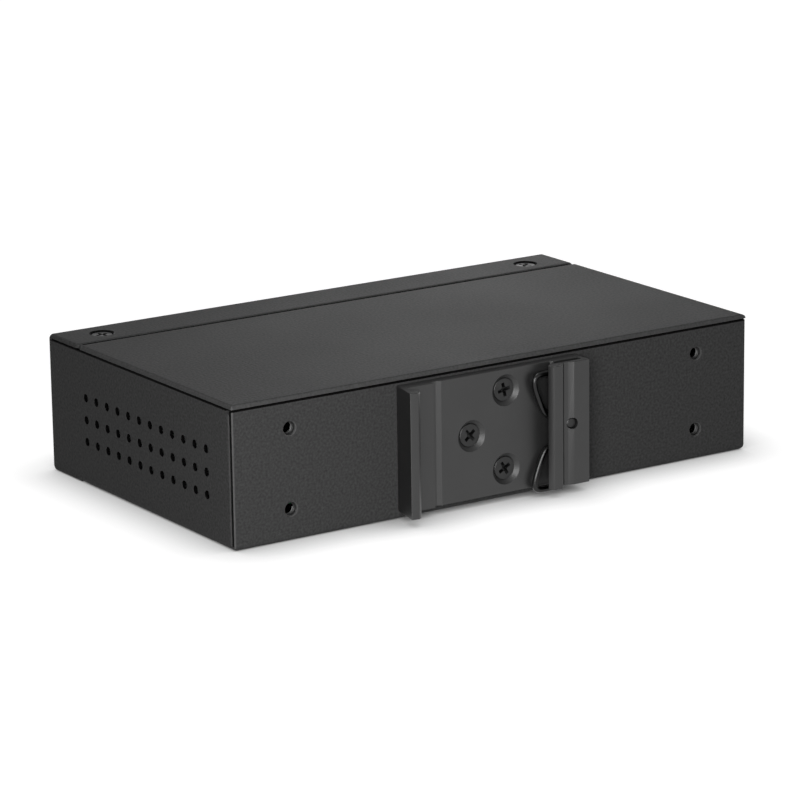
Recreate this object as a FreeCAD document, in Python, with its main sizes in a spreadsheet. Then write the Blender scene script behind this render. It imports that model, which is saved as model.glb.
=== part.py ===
"""Rail-mounted media converter: a folded steel case, its rail clip and the board inside.

Frame, in millimetres: the origin is the centre of the case's bottom face, +X runs along the
length to the power end, +Y to the front panel with the ports, and +Z up through the lid.
"""
import FreeCAD, Part
import os
import Sketcher
from math import pi, tan

doc = FreeCAD.newDocument("media_converter")
dims = doc.addObject("Spreadsheet::Sheet", "dims")
Vector = FreeCAD.Vector

SIZES = {
    # Case
    "case_length": 120,
    "case_depth": 70,
    "case_height": 28,
    "sheet": 0.8,
    "bend_inside": 0.3,
    "edge_round": 0.7,
    "corner_round": 0.8,
    "cut_round": 0.4,
    "lid_gap": 0.3,
    "corner_gap": 0.5,
    "seam_gap": 0.5,
    "fit_gap": 0.1,
    "strip_depth": 12,
    "wall_chamfer": 1,
    # Vents
    "vent_diameter": 1.7,
    "vent_rows": 3,
    "vent_pitch_depth": 4.165,
    "vent_pitch_height": 4.45,
    "vent_from_back": 9.5,
    "vent_from_front": 14,
    "vent_drop": 0.65,
    "vent_margin": 3,
    # Lid
    "lid_tab_width": 14,
    "lid_tab_drop": 7,
    "lid_tab_spacing": 50,
    "tongue_inset": 16,
    "tongue_depth": 7,
    # Front panel screws and the tabs that take them
    "panel_screw_inset": 8.7,
    "panel_screw_from_front": 6.3,
    "panel_screw_length": 5,
    "tab_length": 12,
    "tab_depth": 8,
    "dimple_diameter": 7.4,
    "dimple_depth": 1,
    # Screws
    "thread_diameter": 3,
    "screw_clearance": 0.3,
    "sunk_head": 4.6,
    "head_sink": 0.3,
    "round_head": 5.6,
    "round_head_height": 2,
    "head_crown": 0.6,
    "screw_tip": 0.4,
    "recess_width": 0.7,
    "recess_span": 2.6,
    "recess_depth": 0.9,
    "collar_wall": 0.7,
    "collar_height": 1.2,
    # Bracket holes in the back wall
    "bracket_hole": 2.6,
    "bracket_rim": 0.3,
    "bracket_inset_length": 12.5,
    "bracket_inset_height": 6.2,
    # Rail clip, measured from the vented end and out from the back wall
    "clip_inset": 1.7,
    "clip_left": 36.3,
    "clip_right": 77.6,
    "clip_lean": 1.4,
    "hook_rise": 7.1,
    "hook_tip_width": 1.55,
    "hook_wall": 0.7,
    "hook_round": 0.2,
    "lip_reach": 0.8,
    "lip_drop": 0.9,
    "rail_slot": 1.3,
    "seat_rise": 2.6,
    "seat_end": 43.1,
    "groove_rise": 1.6,
    "groove_end": 44.1,
    "plate_start": 45.1,
    "plate_rise": 2,
    "nose_tip": 68.8,
    "nose_base": 68.8,
    "nose_rise": 6.2,
    "nose_round": 0.6,
    "nose_width": 0.65,
    "nose_taper": 1.5,
    "spring_slot_floor": 2.5,
    "spring_slot_end": 76.4,
    "step_rise": 4.6,
    "step_start": 73.1,
    "step_end": 74.1,
    "block_rise": 5.2,
    "clip_screw_at": 60,
    "clip_screw_offset": 8,
    "clip_screw_inset": 4.5,
    "clip_screw_raise": 0.3,
    "clip_screw_length": 5,
    "clip_screw_head": 4.7,
    "clip_screw_sink": 0.8,
    # Spring wire and its pin
    "wire_diameter": 1.1,
    "wire_clearance": 0.2,
    "spring_drop": 1.25,
    "bow_reach": 64.9,
    "bow_inset": 0.77,
    "bow_end_inset": 0.1,
    "bow_end_reach": 69.5,
    "bow_round": 1.1,
    "leg_turn_at": 68.9,
    "leg_round": 2,
    "loop_round": 1.5,
    "pin_at": 73.6,
    "pin_diameter": 2.4,
    "pin_sink": 0.2,
    "pin_root": 1,
    # Circuit board and its standoffs
    "board_side_gap": 2.2,
    "board_back_gap": 3.7,
    "board_front_gap": 1.4,
    "board_thick": 1.6,
    "board_screw_length": 5,
    "standoff_height": 5,
    "standoff_diameter": 5.5,
    "standoff_shank": 4.2,
    "standoff_floor": 0.4,
    "standoff_from_vents": 10,
    "standoff_from_power": 15,
    "standoff_from_back": 10,
    "standoff_from_front": 15.5,
    # Copper port
    "copper_from_middle": 28,
    "copper_width": 16,
    "copper_depth": 21,
    "copper_height": 13.4,
    "port_skin": 0.3,
    "plug_width": 11.9,
    "plug_height": 6.9,
    "plug_depth": 14,
    "plug_floor": 4.2,
    "latch_width": 6.2,
    "latch_height": 1.8,
    "contact_count": 8,
    "contact_pitch": 1.02,
    "contact_width": 0.35,
    "contact_from_face": 3.5,
    "contact_drop": 3.45,
    # Fibre port
    "fibre_from_middle": 3,
    "cage_width": 14.2,
    "cage_height": 9.9,
    "cage_depth": 48.5,
    "collar_rim": 0.6,
    "collar_depth": 3,
    "connector_width": 12,
    "connector_height": 6.4,
    "connector_depth": 10,
    "connector_slot_width": 9.8,
    "connector_slot_height": 1.6,
    "connector_slot_depth": 6,
    # Power terminal
    "pole_count": 6,
    "pole_pitch": 5.08,
    "header_depth": 11,
    "header_height": 8.6,
    "header_wall": 0.9,
    "header_floor": 2,
    "header_pin": 1,
    "header_pin_reach": 6,
    "pin_tail": 1.8,
    "pin_clearance": 0.2,
    "screw_plug_depth": 15.5,
    "screw_plug_rise": 2,
    "screw_plug_bevel": 1.2,
    "screw_plug_groove": 0.4,
    "screw_plug_gap": 0.2,
    "wire_entry": 2.8,
    "clamp_wall": 0.5,
    "clamp_length": 3.6,
    "clamp_screw_head": 3,
    "clamp_screw_head_height": 1.2,
    "clamp_screw_shank": 2,
    "clamp_screw_sink": 0.6,
    "clamp_screw_reach": 0.8,
    "clamp_slot_width": 0.6,
    "clamp_slot_depth": 0.6,
    # Lamps
    "lamp_count": 5,
    "lamp_pitch": 6,
    "lamp_from_power": 20,
    "lamp_diameter": 3,
    "lamp_rise": 5.2,
    "lamp_length": 5,
    "holder_width": 4.4,
    "holder_depth": 5.4,
    # Earth screw
    "earth_from_back": 11,
    "earth_board_gap": 0.1,
    "earth_screw_length": 6,
    "washer_diameter": 7,
    "washer_thick": 0.6,
    "washer_teeth": 12,
    "washer_notch": 0.8,
    # Legs and bevels that the board components share
    "leg_width": 0.4,
    "leg_thick": 0.2,
    "leg_reach": 1,
    "leg_pitch_fine": 0.8,
    "leg_pitch_wide": 1.27,
    "chip_bevel": 0.25,
    # Board components: middle from the place they are measured from, then size
    "magnetics_from_port": 8.9,
    "magnetics_length": 13,
    "magnetics_depth": 10,
    "magnetics_height": 6,
    "magnetics_legs": 8,
    "switch_from_middle": 12,
    "switch_from_front": 29,
    "switch_side": 12,
    "switch_height": 1.4,
    "switch_legs": 12,
    "crystal_from_front": 41,
    "crystal_length": 11,
    "crystal_depth": 4.7,
    "crystal_height": 3.6,
    "crystal_flange": 0.4,
    "crystal_round": 0.5,
    "memory_from_front": 45,
    "memory_length": 5,
    "memory_depth": 4,
    "memory_height": 1.6,
    "memory_legs": 4,
    "converter_from_power": 30,
    "converter_from_back": 26,
    "converter_length": 6,
    "converter_depth": 5,
    "converter_height": 1.6,
    "converter_legs": 4,
    "inductor_count": 2,
    "inductor_pitch": 11,
    "inductor_from_power": 22.2,
    "inductor_from_back": 38,
    "inductor_side": 10,
    "inductor_height": 4.6,
    "inductor_corner": 2,
    "inductor_bevel": 0.4,
    "inductor_dish": 5.6,
    "diode_count": 3,
    "diode_pitch": 6,
    "diode_from_power": 14.2,
    "diode_from_back": 25,
    "diode_length": 5,
    "diode_depth": 4,
    "diode_height": 2.4,
    "diode_bevel": 0.5,
    "capacitor_count": 3,
    "capacitor_pitch": 11,
    "capacitor_from_power": 20,
    "capacitor_from_back": 15,
    "capacitor_diameter": 8,
    "capacitor_height": 12,
    "capacitor_round": 0.6,
    "capacitor_crimp": 1.6,
    "capacitor_crimp_depth": 0.4,
    "capacitor_vent": 2.4,
    "capacitor_vent_depth": 0.3,
}

for row, (alias, value) in enumerate(SIZES.items(), 1):
    dims.set(f"A{row}", alias)
    dims.set(f"B{row}", str(value))
    dims.setAlias(f"B{row}", alias)
doc.recompute()

ZERO = "0 * dims.sheet"
LEFT = "-dims.case_length/2"
RIGHT = "dims.case_length/2"
BACK = "-dims.case_depth/2"
FRONT = "dims.case_depth/2"
TOP = "dims.case_height"
MIDDLE = "dims.case_height/2"
LID_UNDER = "(dims.case_height - dims.sheet)"
WALL_TOP = f"({LID_UNDER} - dims.lid_gap)"
WALL_FOOT = "(dims.sheet + dims.lid_gap)"
WALL_INSIDE_LEFT = f"({LEFT} + dims.sheet)"
WALL_INSIDE_RIGHT = f"({RIGHT} - dims.sheet)"
WALL_INSIDE_BACK = f"({BACK} + dims.sheet)"
WALL_INSIDE_FRONT = f"({FRONT} - dims.sheet)"
ARM_END = f"({WALL_INSIDE_FRONT} - dims.fit_gap)"
SEAM = f"({FRONT} - dims.strip_depth)"
SEAM_BACK = f"({SEAM} - dims.seam_gap/2)"
SEAM_FRONT = f"({SEAM} + dims.seam_gap/2)"
BEND_OUTSIDE = "(dims.bend_inside + dims.sheet)"
EDGE_ROUND = "min(dims.edge_round; dims.sheet - dims.fit_gap)"
THROUGH_SHEET = "1.5 * dims.sheet"

CLEAR_HOLE = "(dims.thread_diameter + dims.screw_clearance)"
PANEL_SINK = "(dims.sunk_head + 2 * dims.head_sink)"
CLIP_SINK = "(dims.clip_screw_head + 2 * dims.clip_screw_sink)"
SHANK = "(dims.thread_diameter/2 - dims.fit_gap)"
COLLAR = "(dims.thread_diameter + 2 * dims.collar_wall)"
PANEL_SCREW_X = f"({RIGHT} - dims.panel_screw_inset)"
PANEL_SCREW_Y = f"({FRONT} - dims.panel_screw_from_front)"
CLIP_HALF = f"({MIDDLE} - dims.clip_inset)"
SLOT_ROOF = "(dims.spring_slot_floor + dims.wire_diameter + 2 * dims.wire_clearance)"

BOARD_UNDER = "(dims.sheet + dims.standoff_height)"
BOARD_TOP = f"({BOARD_UNDER} + dims.board_thick)"
PORT_FACE = f"({FRONT} - dims.fit_gap)"
COPPER_X = "-dims.copper_from_middle"
COPPER_BACK = f"({PORT_FACE} - dims.copper_depth)"
COPPER_MOUTH_BACK = f"({PORT_FACE} - dims.plug_depth)"
COPPER_MOUTH_FLOOR = f"({BOARD_TOP} + dims.plug_floor)"
COPPER_MOUTH_ROOF = f"({COPPER_MOUTH_FLOOR} + dims.plug_height)"
FIBRE_X = "dims.fibre_from_middle"
CAGE_BACK = f"({PORT_FACE} - dims.cage_depth)"
CONNECTOR_BACK = f"({CAGE_BACK} + dims.port_skin + dims.fit_gap)"
LAMP_X = f"({RIGHT} - dims.lamp_from_power)"
LAMP_Z = f"({BOARD_TOP} + dims.lamp_rise)"

POLE_SPAN = "(dims.pole_count * dims.pole_pitch)"
FIRST_POLE = "(-dims.pole_pitch * (dims.pole_count - 1)/2)"
POLE_Z = f"({BOARD_TOP} + dims.header_height/2)"
HEADER_WIDTH = f"({POLE_SPAN} + 2 * dims.header_wall)"
HEADER_BACK = f"({RIGHT} - dims.header_depth)"
HEADER_INSIDE = f"({HEADER_BACK} + dims.header_floor)"
PIN_X = f"({HEADER_BACK} + dims.header_floor/2)"
SCREW_PLUG_BACK = f"({HEADER_INSIDE} + dims.screw_plug_gap)"
SCREW_PLUG_END = f"({SCREW_PLUG_BACK} + dims.screw_plug_depth)"
SCREW_PLUG_LOW = f"({BOARD_TOP} + dims.header_wall + dims.screw_plug_gap)"
SCREW_PLUG_STEP = f"({BOARD_TOP} + dims.header_height - dims.header_wall - dims.screw_plug_gap)"
SCREW_PLUG_TOP = f"({SCREW_PLUG_STEP} + dims.screw_plug_rise)"
CLAMP_X = f"(({RIGHT} + {SCREW_PLUG_END})/2)"
CLAMP_SIDE = "(dims.wire_entry + 2 * dims.clamp_wall)"
CLAMP_SCREW_FACE = f"({SCREW_PLUG_TOP} - dims.clamp_screw_sink)"
EARTH_Y = f"({BACK} + dims.earth_from_back)"
EARTH_Z = f"({BOARD_TOP} + dims.thread_diameter/2 + dims.earth_board_gap)"

TOUCH = 1e-4


def size(text):
    """Value of an expression on the sheet."""
    return float(dims.evalExpression(text))


def body(label):
    made = doc.addObject("PartDesign::Body", label)
    made.Label = label
    return made


def datum(owner, role):
    return next(item for item in owner.Origin.OriginFeatures if item.Role == role)


def sketch(owner, name, role, offset=ZERO):
    """Sketch on one of the body's own planes, moved along that plane's normal."""
    made = owner.newObject("Sketcher::SketchObject", f"{owner.Label}_{name}")
    made.AttachmentSupport = [(datum(owner, role), "")]
    made.MapMode = "FlatFace"
    made.setExpression("AttachmentOffset.Base.z", offset)
    return made


def bind(drawing, kind, where, text):
    number = drawing.addConstraint(Sketcher.Constraint(kind, *where, size(text)))
    drawing.setExpression(f"Constraints[{number}]", text)


def polygon(drawing, points):
    """Closed outline whose every corner follows the sheet."""
    corners = [Vector(size(x), size(y), 0) for x, y in points]
    lines = [Part.LineSegment(a, b) for a, b in zip(corners, corners[1:] + corners[:1])]
    numbers = drawing.addGeometry(lines, False)
    following = list(numbers[1:]) + [numbers[0]]
    joins = [Sketcher.Constraint("Coincident", a, 2, b, 1) for a, b in zip(numbers, following)]
    drawing.addConstraint(joins)
    for number, (x, y) in zip(numbers, points):
        bind(drawing, "DistanceX", (-1, 1, number, 1), x)
        bind(drawing, "DistanceY", (-1, 1, number, 1), y)


def rectangle(drawing, low_x, low_y, high_x, high_y):
    polygon(drawing, [(low_x, low_y), (high_x, low_y), (high_x, high_y), (low_x, high_y)])


def centred(drawing, x, y, wide, tall):
    rectangle(drawing, f"({x} - {wide}/2)", f"({y} - {tall}/2)", f"({x} + {wide}/2)", f"({y} + {tall}/2)")


def circle(drawing, x, y, diameter):
    ring = Part.Circle(Vector(size(x), size(y), 0), Vector(0, 0, 1), size(diameter) / 2)
    number = drawing.addGeometry(ring, False)
    bind(drawing, "DistanceX", (-1, 1, number, 3), x)
    bind(drawing, "DistanceY", (-1, 1, number, 3), y)
    bind(drawing, "Diameter", (number,), diameter)


def pad(owner, drawing, length, backwards=False, both_ways=False):
    made = owner.newObject("PartDesign::Pad", f"{drawing.Name}_pad")
    made.Profile = drawing
    made.Reversed = backwards
    made.SideType = "Symmetric" if both_ways else "One side"
    made.setExpression("Length", length)
    doc.recompute()
    return made


def pocket(owner, drawing, length, backwards=False, both_ways=False):
    before = owner.Shape.Volume
    made = owner.newObject("PartDesign::Pocket", f"{drawing.Name}_cut")
    made.Profile = drawing
    made.Reversed = backwards
    made.SideType = "Symmetric" if both_ways else "One side"
    made.setExpression("Length", length)
    doc.recompute()
    if owner.Shape.Volume > before - TOUCH:
        raise ValueError(f"{made.Name} cuts nothing")
    return made


def pattern(owner, feature, axis, pitch, count, second=None):
    """Row of a feature along one of the body's axes, or a grid with a second row."""
    made = owner.newObject("PartDesign::LinearPattern", f"{feature.Name}_row")
    made.Originals = [feature]
    made.Direction = (datum(owner, axis), [""])
    made.Mode = "Spacing"
    made.setExpression("Offset", pitch)
    made.setExpression("Occurrences", count)
    if second:
        axis, pitch, count = second
        made.Direction2 = (datum(owner, axis), [""])
        made.Mode2 = "Extent"
        made.setExpression("Length2", f"{pitch} * ({count} - 1)")
        made.setExpression("Occurrences2", count)
    owner.Tip = made
    doc.recompute()
    return made


def ring_of(owner, feature, count):
    """Copies of a feature all round the body's upright axis."""
    made = owner.newObject("PartDesign::PolarPattern", f"{feature.Name}_ring")
    made.Originals = [feature]
    made.Axis = (datum(owner, "Z_Axis"), [""])
    made.Angle = 360
    made.setExpression("Occurrences", count)
    owner.Tip = made
    doc.recompute()
    return made


def turned(label, outline):
    """Body turned about the upright axis from a profile of radii and heights."""
    made = body(label)
    profile = sketch(made, "profile", "XZ_Plane")
    polygon(profile, outline)
    spin = made.newObject("PartDesign::Revolution", f"{label}_turn")
    spin.Profile = profile
    spin.ReferenceAxis = (datum(made, "Z_Axis"), [""])
    spin.Angle = 360
    doc.recompute()
    return made


def lies(edge, spot):
    """True where both ends of an edge have the given coordinates."""
    ends = [vertex.Point for vertex in edge.Vertexes]
    for axis, text in spot.items():
        level = size(text)
        if any(abs(getattr(end, axis) - level) > TOUCH for end in ends):
            return False
    return True


def soften(owner, kind, amount, spots):
    """Fillet or chamfer every edge that lies at one of the spots."""
    base = owner.Tip
    edges = enumerate(base.Shape.Edges, 1)
    names = [f"Edge{number}" for number, edge in edges if any(lies(edge, spot) for spot in spots)]
    made = owner.newObject(f"PartDesign::{kind}", f"{base.Name}_{kind.lower()}")
    made.Base = (base, names)
    made.setExpression("Radius" if kind == "Fillet" else "Size", amount)
    doc.recompute()
    return made


def sink(owner, drawing, width, depth, backwards=False):
    """Countersunk through hole at each circle of a sketch."""
    made = owner.newObject("PartDesign::Hole", f"{drawing.Name}_hole")
    made.Profile = drawing
    made.Threaded = False
    made.DepthType = "Dimension"
    made.setExpression("Depth", depth)
    made.setExpression("Diameter", CLEAR_HOLE)
    made.HoleCutType = "Countersink"
    made.HoleCutCustomValues = True
    made.setExpression("HoleCutDiameter", width)
    made.HoleCutCountersinkAngle = 90
    made.DrillPoint = "Flat"
    made.Reversed = backwards
    doc.recompute()
    return made


def place(thing, x, y, z):
    for axis, text in zip("xyz", (x, y, z)):
        thing.setExpression(f"Placement.Base.{axis}", text)


def block(label, x, y, foot, spans):
    """Body that stands on a level, centred on a spot."""
    made = body(label)
    wide, deep, tall = spans
    outline = sketch(made, "outline", "XY_Plane", foot)
    centred(outline, x, y, wide, deep)
    pad(made, outline, tall)
    return made


def rod(label, foot, diameter, length, turn):
    """Cylinder from the centre of its foot."""
    made = doc.addObject("Part::Cylinder", label)
    made.Label = label
    made.setExpression("Radius", f"{diameter}/2")
    made.setExpression("Height", length)
    made.Placement.Rotation = turn
    place(made, *foot)
    return made


def cut(label, base, tool):
    made = doc.addObject("Part::Cut", label)
    made.Label = label
    made.Base = base
    made.Tool = tool
    return made


def fuse(label, pieces):
    made = doc.addObject("Part::MultiFuse", label)
    made.Label = label
    made.Shapes = pieces
    return made


def copies(label, piece, spots):
    """One node with a copy of a piece at each spot, each turned as the spot says."""
    links = []
    for number, (x, y, z, turn) in enumerate(spots, 1):
        link = doc.addObject("App::Link", f"{label}_{number}")
        link.LinkedObject = piece
        link.LinkTransform = False
        link.Placement.Rotation = turn
        place(link, x, y, z)
        links.append(link)
    made = doc.addObject("Part::Compound", label)
    made.Label = label
    made.Links = links
    return made


UPRIGHT = FreeCAD.Rotation(Vector(1, 0, 0), 0)
INVERTED = FreeCAD.Rotation(Vector(1, 0, 0), 180)
FACING_BACK = FreeCAD.Rotation(Vector(1, 0, 0), 90)
FACING_FRONT = FreeCAD.Rotation(Vector(1, 0, 0), -90)
FACING_RIGHT = FreeCAD.Rotation(Vector(0, 1, 0), 90)


def row_of(middle, pitch, count):
    """Evenly pitched places on both sides of a middle."""
    number = round(size(count))
    return [f"({middle} + {pitch} * ({step} - ({count} - 1)/2))" for step in range(number)]


def along(text):
    """X of a place measured from the vented end of the case."""
    return f"({text} + {LEFT})"


def behind(text):
    """Y of a place that stands out behind the back wall."""
    return f"({BACK} - ({text}))"


def panel_screw_sides():
    return [f"-{PANEL_SCREW_X}", PANEL_SCREW_X]


def standoff_spots():
    columns = (f"({LEFT} + dims.standoff_from_vents)", f"({RIGHT} - dims.standoff_from_power)")
    rows = (f"({BACK} + dims.standoff_from_back)", f"({FRONT} - dims.standoff_from_front)")
    return [(x, y) for x in columns for y in rows]


def bracket_spots():
    columns = (f"({LEFT} + dims.bracket_inset_length)", f"({RIGHT} - dims.bracket_inset_length)")
    rows = ("dims.bracket_inset_height", f"({TOP} - dims.bracket_inset_height)")
    return [(x, z) for x in columns for z in rows]


def clip_screw_spots():
    """Two screws across the clip's plate and one between them, nearer the hook."""
    column = along("dims.clip_screw_at")
    level = f"({MIDDLE} + dims.clip_screw_raise)"
    reach = f"({CLIP_HALF} - dims.clip_screw_inset)"
    return [(column, f"({level} + {reach})"), (column, f"({level} - {reach})"),
            (f"({column} - dims.clip_screw_offset)", level)]


def case_tray():
    """Floor, back wall and end walls, folded from one sheet."""
    tray = body("case_tray")
    outline = sketch(tray, "outline", "XY_Plane")
    rectangle(outline, LEFT, BACK, RIGHT, SEAM_BACK)
    pad(tray, outline, WALL_TOP)
    floor_edges = [{"x": LEFT, "z": "0"}, {"x": RIGHT, "z": "0"}, {"y": BACK, "z": "0"}]
    soften(tray, "Fillet", BEND_OUTSIDE, floor_edges)
    hollow = sketch(tray, "hollow", "XY_Plane", WALL_TOP)
    rectangle(hollow, WALL_INSIDE_LEFT, WALL_INSIDE_BACK, WALL_INSIDE_RIGHT, f"({SEAM_BACK} + dims.sheet)")
    pocket(tray, hollow, f"({WALL_TOP} - dims.sheet)")
    inner_edges = [{"x": WALL_INSIDE_LEFT, "z": "dims.sheet"}, {"x": WALL_INSIDE_RIGHT, "z": "dims.sheet"},
                   {"y": WALL_INSIDE_BACK, "z": "dims.sheet"}]
    soften(tray, "Fillet", "dims.bend_inside", inner_edges)
    for name, plane in (("left_arm", LEFT), ("right_arm", WALL_INSIDE_RIGHT)):
        arm = sketch(tray, name, "YZ_Plane", plane)
        rectangle(arm, f"({SEAM_BACK} - dims.sheet)", WALL_FOOT, ARM_END, WALL_TOP)
        pad(tray, arm, "dims.sheet")
    tray_tabs(tray)
    tray_corners(tray)
    tray_vents(tray)
    tray_back_holes(tray)
    tray_end_holes(tray)
    feet = sketch(tray, "standoff_holes", "XY_Plane", "dims.sheet")
    for x, y in standoff_spots():
        circle(feet, x, y, "(dims.standoff_shank + 2 * dims.fit_gap)")
    pocket(tray, feet, THROUGH_SHEET)
    return tray


def tray_tabs(tray):
    """Threaded tabs on the end walls, under the lid strip and over the floor strip."""
    front = f"({PANEL_SCREW_Y} + dims.tab_depth/2)"
    back = f"({PANEL_SCREW_Y} - dims.tab_depth/2)"
    low_foot = "(dims.sheet + dims.dimple_depth)"
    high_foot = f"({LID_UNDER} - dims.dimple_depth - dims.sheet)"
    for name, foot in (("low", low_foot), ("high", high_foot)):
        tabs = sketch(tray, f"{name}_tabs", "XY_Plane", foot)
        rectangle(tabs, f"({LEFT} + dims.sheet/2)", back, f"({WALL_INSIDE_LEFT} + dims.tab_length)", front)
        rectangle(tabs, f"({WALL_INSIDE_RIGHT} - dims.tab_length)", back, f"({RIGHT} - dims.sheet/2)", front)
        pad(tray, tabs, "dims.sheet")
    threads = sketch(tray, "tab_threads", "XY_Plane")
    for x in panel_screw_sides():
        circle(threads, x, PANEL_SCREW_Y, "dims.thread_diameter")
    pocket(tray, threads, TOP, backwards=True)


def tray_corners(tray):
    """Open slot at each upright corner, and the end walls' cut-off top corner beside it."""
    slots = sketch(tray, "corner_slots", "XY_Plane", WALL_TOP)
    slot_end = f"({WALL_INSIDE_BACK} + dims.corner_gap)"
    rectangle(slots, f"({LEFT} - dims.sheet)", WALL_INSIDE_BACK, WALL_INSIDE_LEFT, slot_end)
    rectangle(slots, WALL_INSIDE_RIGHT, WALL_INSIDE_BACK, f"({RIGHT} + dims.sheet)", slot_end)
    pocket(tray, slots, f"({WALL_TOP} - {BEND_OUTSIDE})")
    corners = sketch(tray, "wall_chamfers", "YZ_Plane")
    polygon(corners, [(slot_end, WALL_TOP), (slot_end, f"({WALL_TOP} - dims.wall_chamfer)"),
                      (f"({slot_end} + dims.wall_chamfer)", WALL_TOP)])
    pocket(tray, corners, "2 * dims.case_length", both_ways=True)
    uprights = [{"x": x, "y": y} for x in (LEFT, RIGHT) for y in (BACK, slot_end)]
    soften(tray, "Fillet", "dims.cut_round", uprights)


def tray_vents(tray):
    """Vent grid on the left wall, and a shorter one beside the power terminal."""
    low = f"({MIDDLE} - dims.vent_drop - dims.vent_pitch_height * (dims.vent_rows - 1)/2)"
    rows = ("Z_Axis", "dims.vent_pitch_height", "dims.vent_rows")
    pitch = "dims.vent_pitch_depth"
    beside = f"({HEADER_WIDTH}/2 + {pitch})"
    grids = (("vents", LEFT, f"({BACK} + dims.vent_from_back)", f"({FRONT} - dims.vent_from_front)", True),
             ("power_vents", RIGHT, beside, f"({ARM_END} - dims.vent_margin)", False))
    for name, plane, first, last, backwards in grids:
        vent = sketch(tray, name, "YZ_Plane", plane)
        circle(vent, first, low, "dims.vent_diameter")
        hole = pocket(tray, vent, THROUGH_SHEET, backwards)
        pattern(tray, hole, "Y_Axis", pitch, f"(floor(({last} - {first})/{pitch}) + 1)", rows)


def tray_back_holes(tray):
    """Threaded holes of the back wall, each with a collar drawn inwards."""
    collars = sketch(tray, "collars", "XZ_Plane", f"-({BACK} + dims.sheet/2)")
    for x, z in bracket_spots() + clip_screw_spots():
        circle(collars, x, z, COLLAR)
    pad(tray, collars, "(dims.collar_height + dims.sheet/2)", backwards=True)
    through = "(dims.sheet + 2 * dims.collar_height)"
    for name, spots, bore in (("bracket_holes", bracket_spots(), "dims.bracket_hole"),
                              ("clip_threads", clip_screw_spots(), "dims.thread_diameter")):
        holes = sketch(tray, name, "XZ_Plane", f"-({BACK})")
        for x, z in spots:
            circle(holes, x, z, bore)
        pocket(tray, holes, through)
    rims = [{"x": f"({x} + dims.bracket_hole/2)", "y": BACK, "z": z} for x, z in bracket_spots()]
    soften(tray, "Fillet", "dims.bracket_rim", rims)


def tray_end_holes(tray):
    """Opening for the power terminal and the earth screw's thread."""
    terminal = sketch(tray, "terminal_opening", "YZ_Plane", RIGHT)
    centred(terminal, "0", POLE_Z, f"({HEADER_WIDTH} + 2 * dims.fit_gap)",
            "(dims.header_height + 2 * dims.fit_gap)")
    pocket(tray, terminal, THROUGH_SHEET)
    earth = sketch(tray, "earth_thread", "YZ_Plane", RIGHT)
    circle(earth, EARTH_Y, EARTH_Z, "dims.thread_diameter")
    pocket(tray, earth, THROUGH_SHEET)


def lid():
    """Flat cover with tabs behind the back wall and a tongue under the front strip."""
    cover = body("lid")
    plate = sketch(cover, "plate", "XY_Plane", LID_UNDER)
    rectangle(plate, LEFT, BACK, RIGHT, SEAM_BACK)
    pad(cover, plate, "dims.sheet")
    corners = [{"x": x, "y": SEAM_BACK} for x in (LEFT, RIGHT)]
    soften(cover, "Fillet", "dims.corner_round", corners)
    rims = [{"x": LEFT, "z": TOP}, {"x": RIGHT, "z": TOP}, {"y": BACK, "z": TOP}]
    soften(cover, "Fillet", EDGE_ROUND, rims)
    tabs = sketch(cover, "tabs", "XZ_Plane", f"-({WALL_INSIDE_BACK} + dims.fit_gap)")
    half = "dims.lid_tab_width/2"
    for side in "-+":
        middle = f"0 {side} dims.lid_tab_spacing/2"
        rectangle(tabs, f"({middle} - {half})", f"({LID_UNDER} - dims.lid_tab_drop)",
                  f"({middle} + {half})", f"({LID_UNDER} + dims.sheet/2)")
    pad(cover, tabs, "dims.sheet", backwards=True)
    tongue = sketch(cover, "tongue", "YZ_Plane")
    tip = f"({SEAM} + dims.tongue_depth)"
    low = f"({LID_UNDER} - dims.sheet)"
    core = f"({LID_UNDER} + dims.sheet/2)"
    root = f"({SEAM_BACK} - 2 * dims.sheet)"
    polygon(tongue, [(root, LID_UNDER), (f"({SEAM_BACK} - dims.sheet)", low), (tip, low), (tip, LID_UNDER),
                     (SEAM_BACK, LID_UNDER), (SEAM_BACK, core), (root, core)])
    pad(cover, tongue, "(dims.case_length - 2 * dims.tongue_inset)", both_ways=True)
    return cover


def front_panel():
    """Front wall with a strip folded over the lid side and one over the floor side."""
    panel = body("front_panel")
    channel = sketch(panel, "channel", "YZ_Plane")
    inner = WALL_INSIDE_FRONT
    polygon(channel, [(SEAM_FRONT, TOP), (FRONT, TOP), (FRONT, "0"), (SEAM_FRONT, "0"),
                      (SEAM_FRONT, "dims.sheet"), (inner, "dims.sheet"), (inner, LID_UNDER),
                      (SEAM_FRONT, LID_UNDER)])
    pad(panel, channel, "dims.case_length", both_ways=True)
    ends = [{"x": x, "y": SEAM_FRONT} for x in (LEFT, RIGHT)]
    soften(panel, "Fillet", "dims.corner_round", ends)
    soften(panel, "Fillet", BEND_OUTSIDE, [{"y": FRONT, "z": z} for z in (TOP, "0")])
    soften(panel, "Fillet", "dims.bend_inside", [{"y": inner, "z": z} for z in (LID_UNDER, "dims.sheet")])
    rims = [{"x": x, "z": z} for x in (LEFT, RIGHT) for z in (TOP, "0")]
    rims += [{"x": x, "y": FRONT} for x in (LEFT, RIGHT)]
    soften(panel, "Fillet", EDGE_ROUND, rims)
    panel_sinks(panel)
    openings = sketch(panel, "openings", "XZ_Plane", BACK)
    for middle, wide, tall in ((COPPER_X, "dims.copper_width", "dims.copper_height"),
                               (FIBRE_X, "dims.cage_width", "dims.cage_height")):
        centred(openings, middle, f"({BOARD_TOP} + {tall}/2)", f"({wide} + 2 * dims.fit_gap)",
                f"({tall} + 2 * dims.fit_gap)")
    for x in lamp_columns():
        circle(openings, x, LAMP_Z, "(dims.lamp_diameter + 2 * dims.fit_gap)")
    pocket(panel, openings, "2 * dims.sheet", backwards=True)
    return panel


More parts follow.
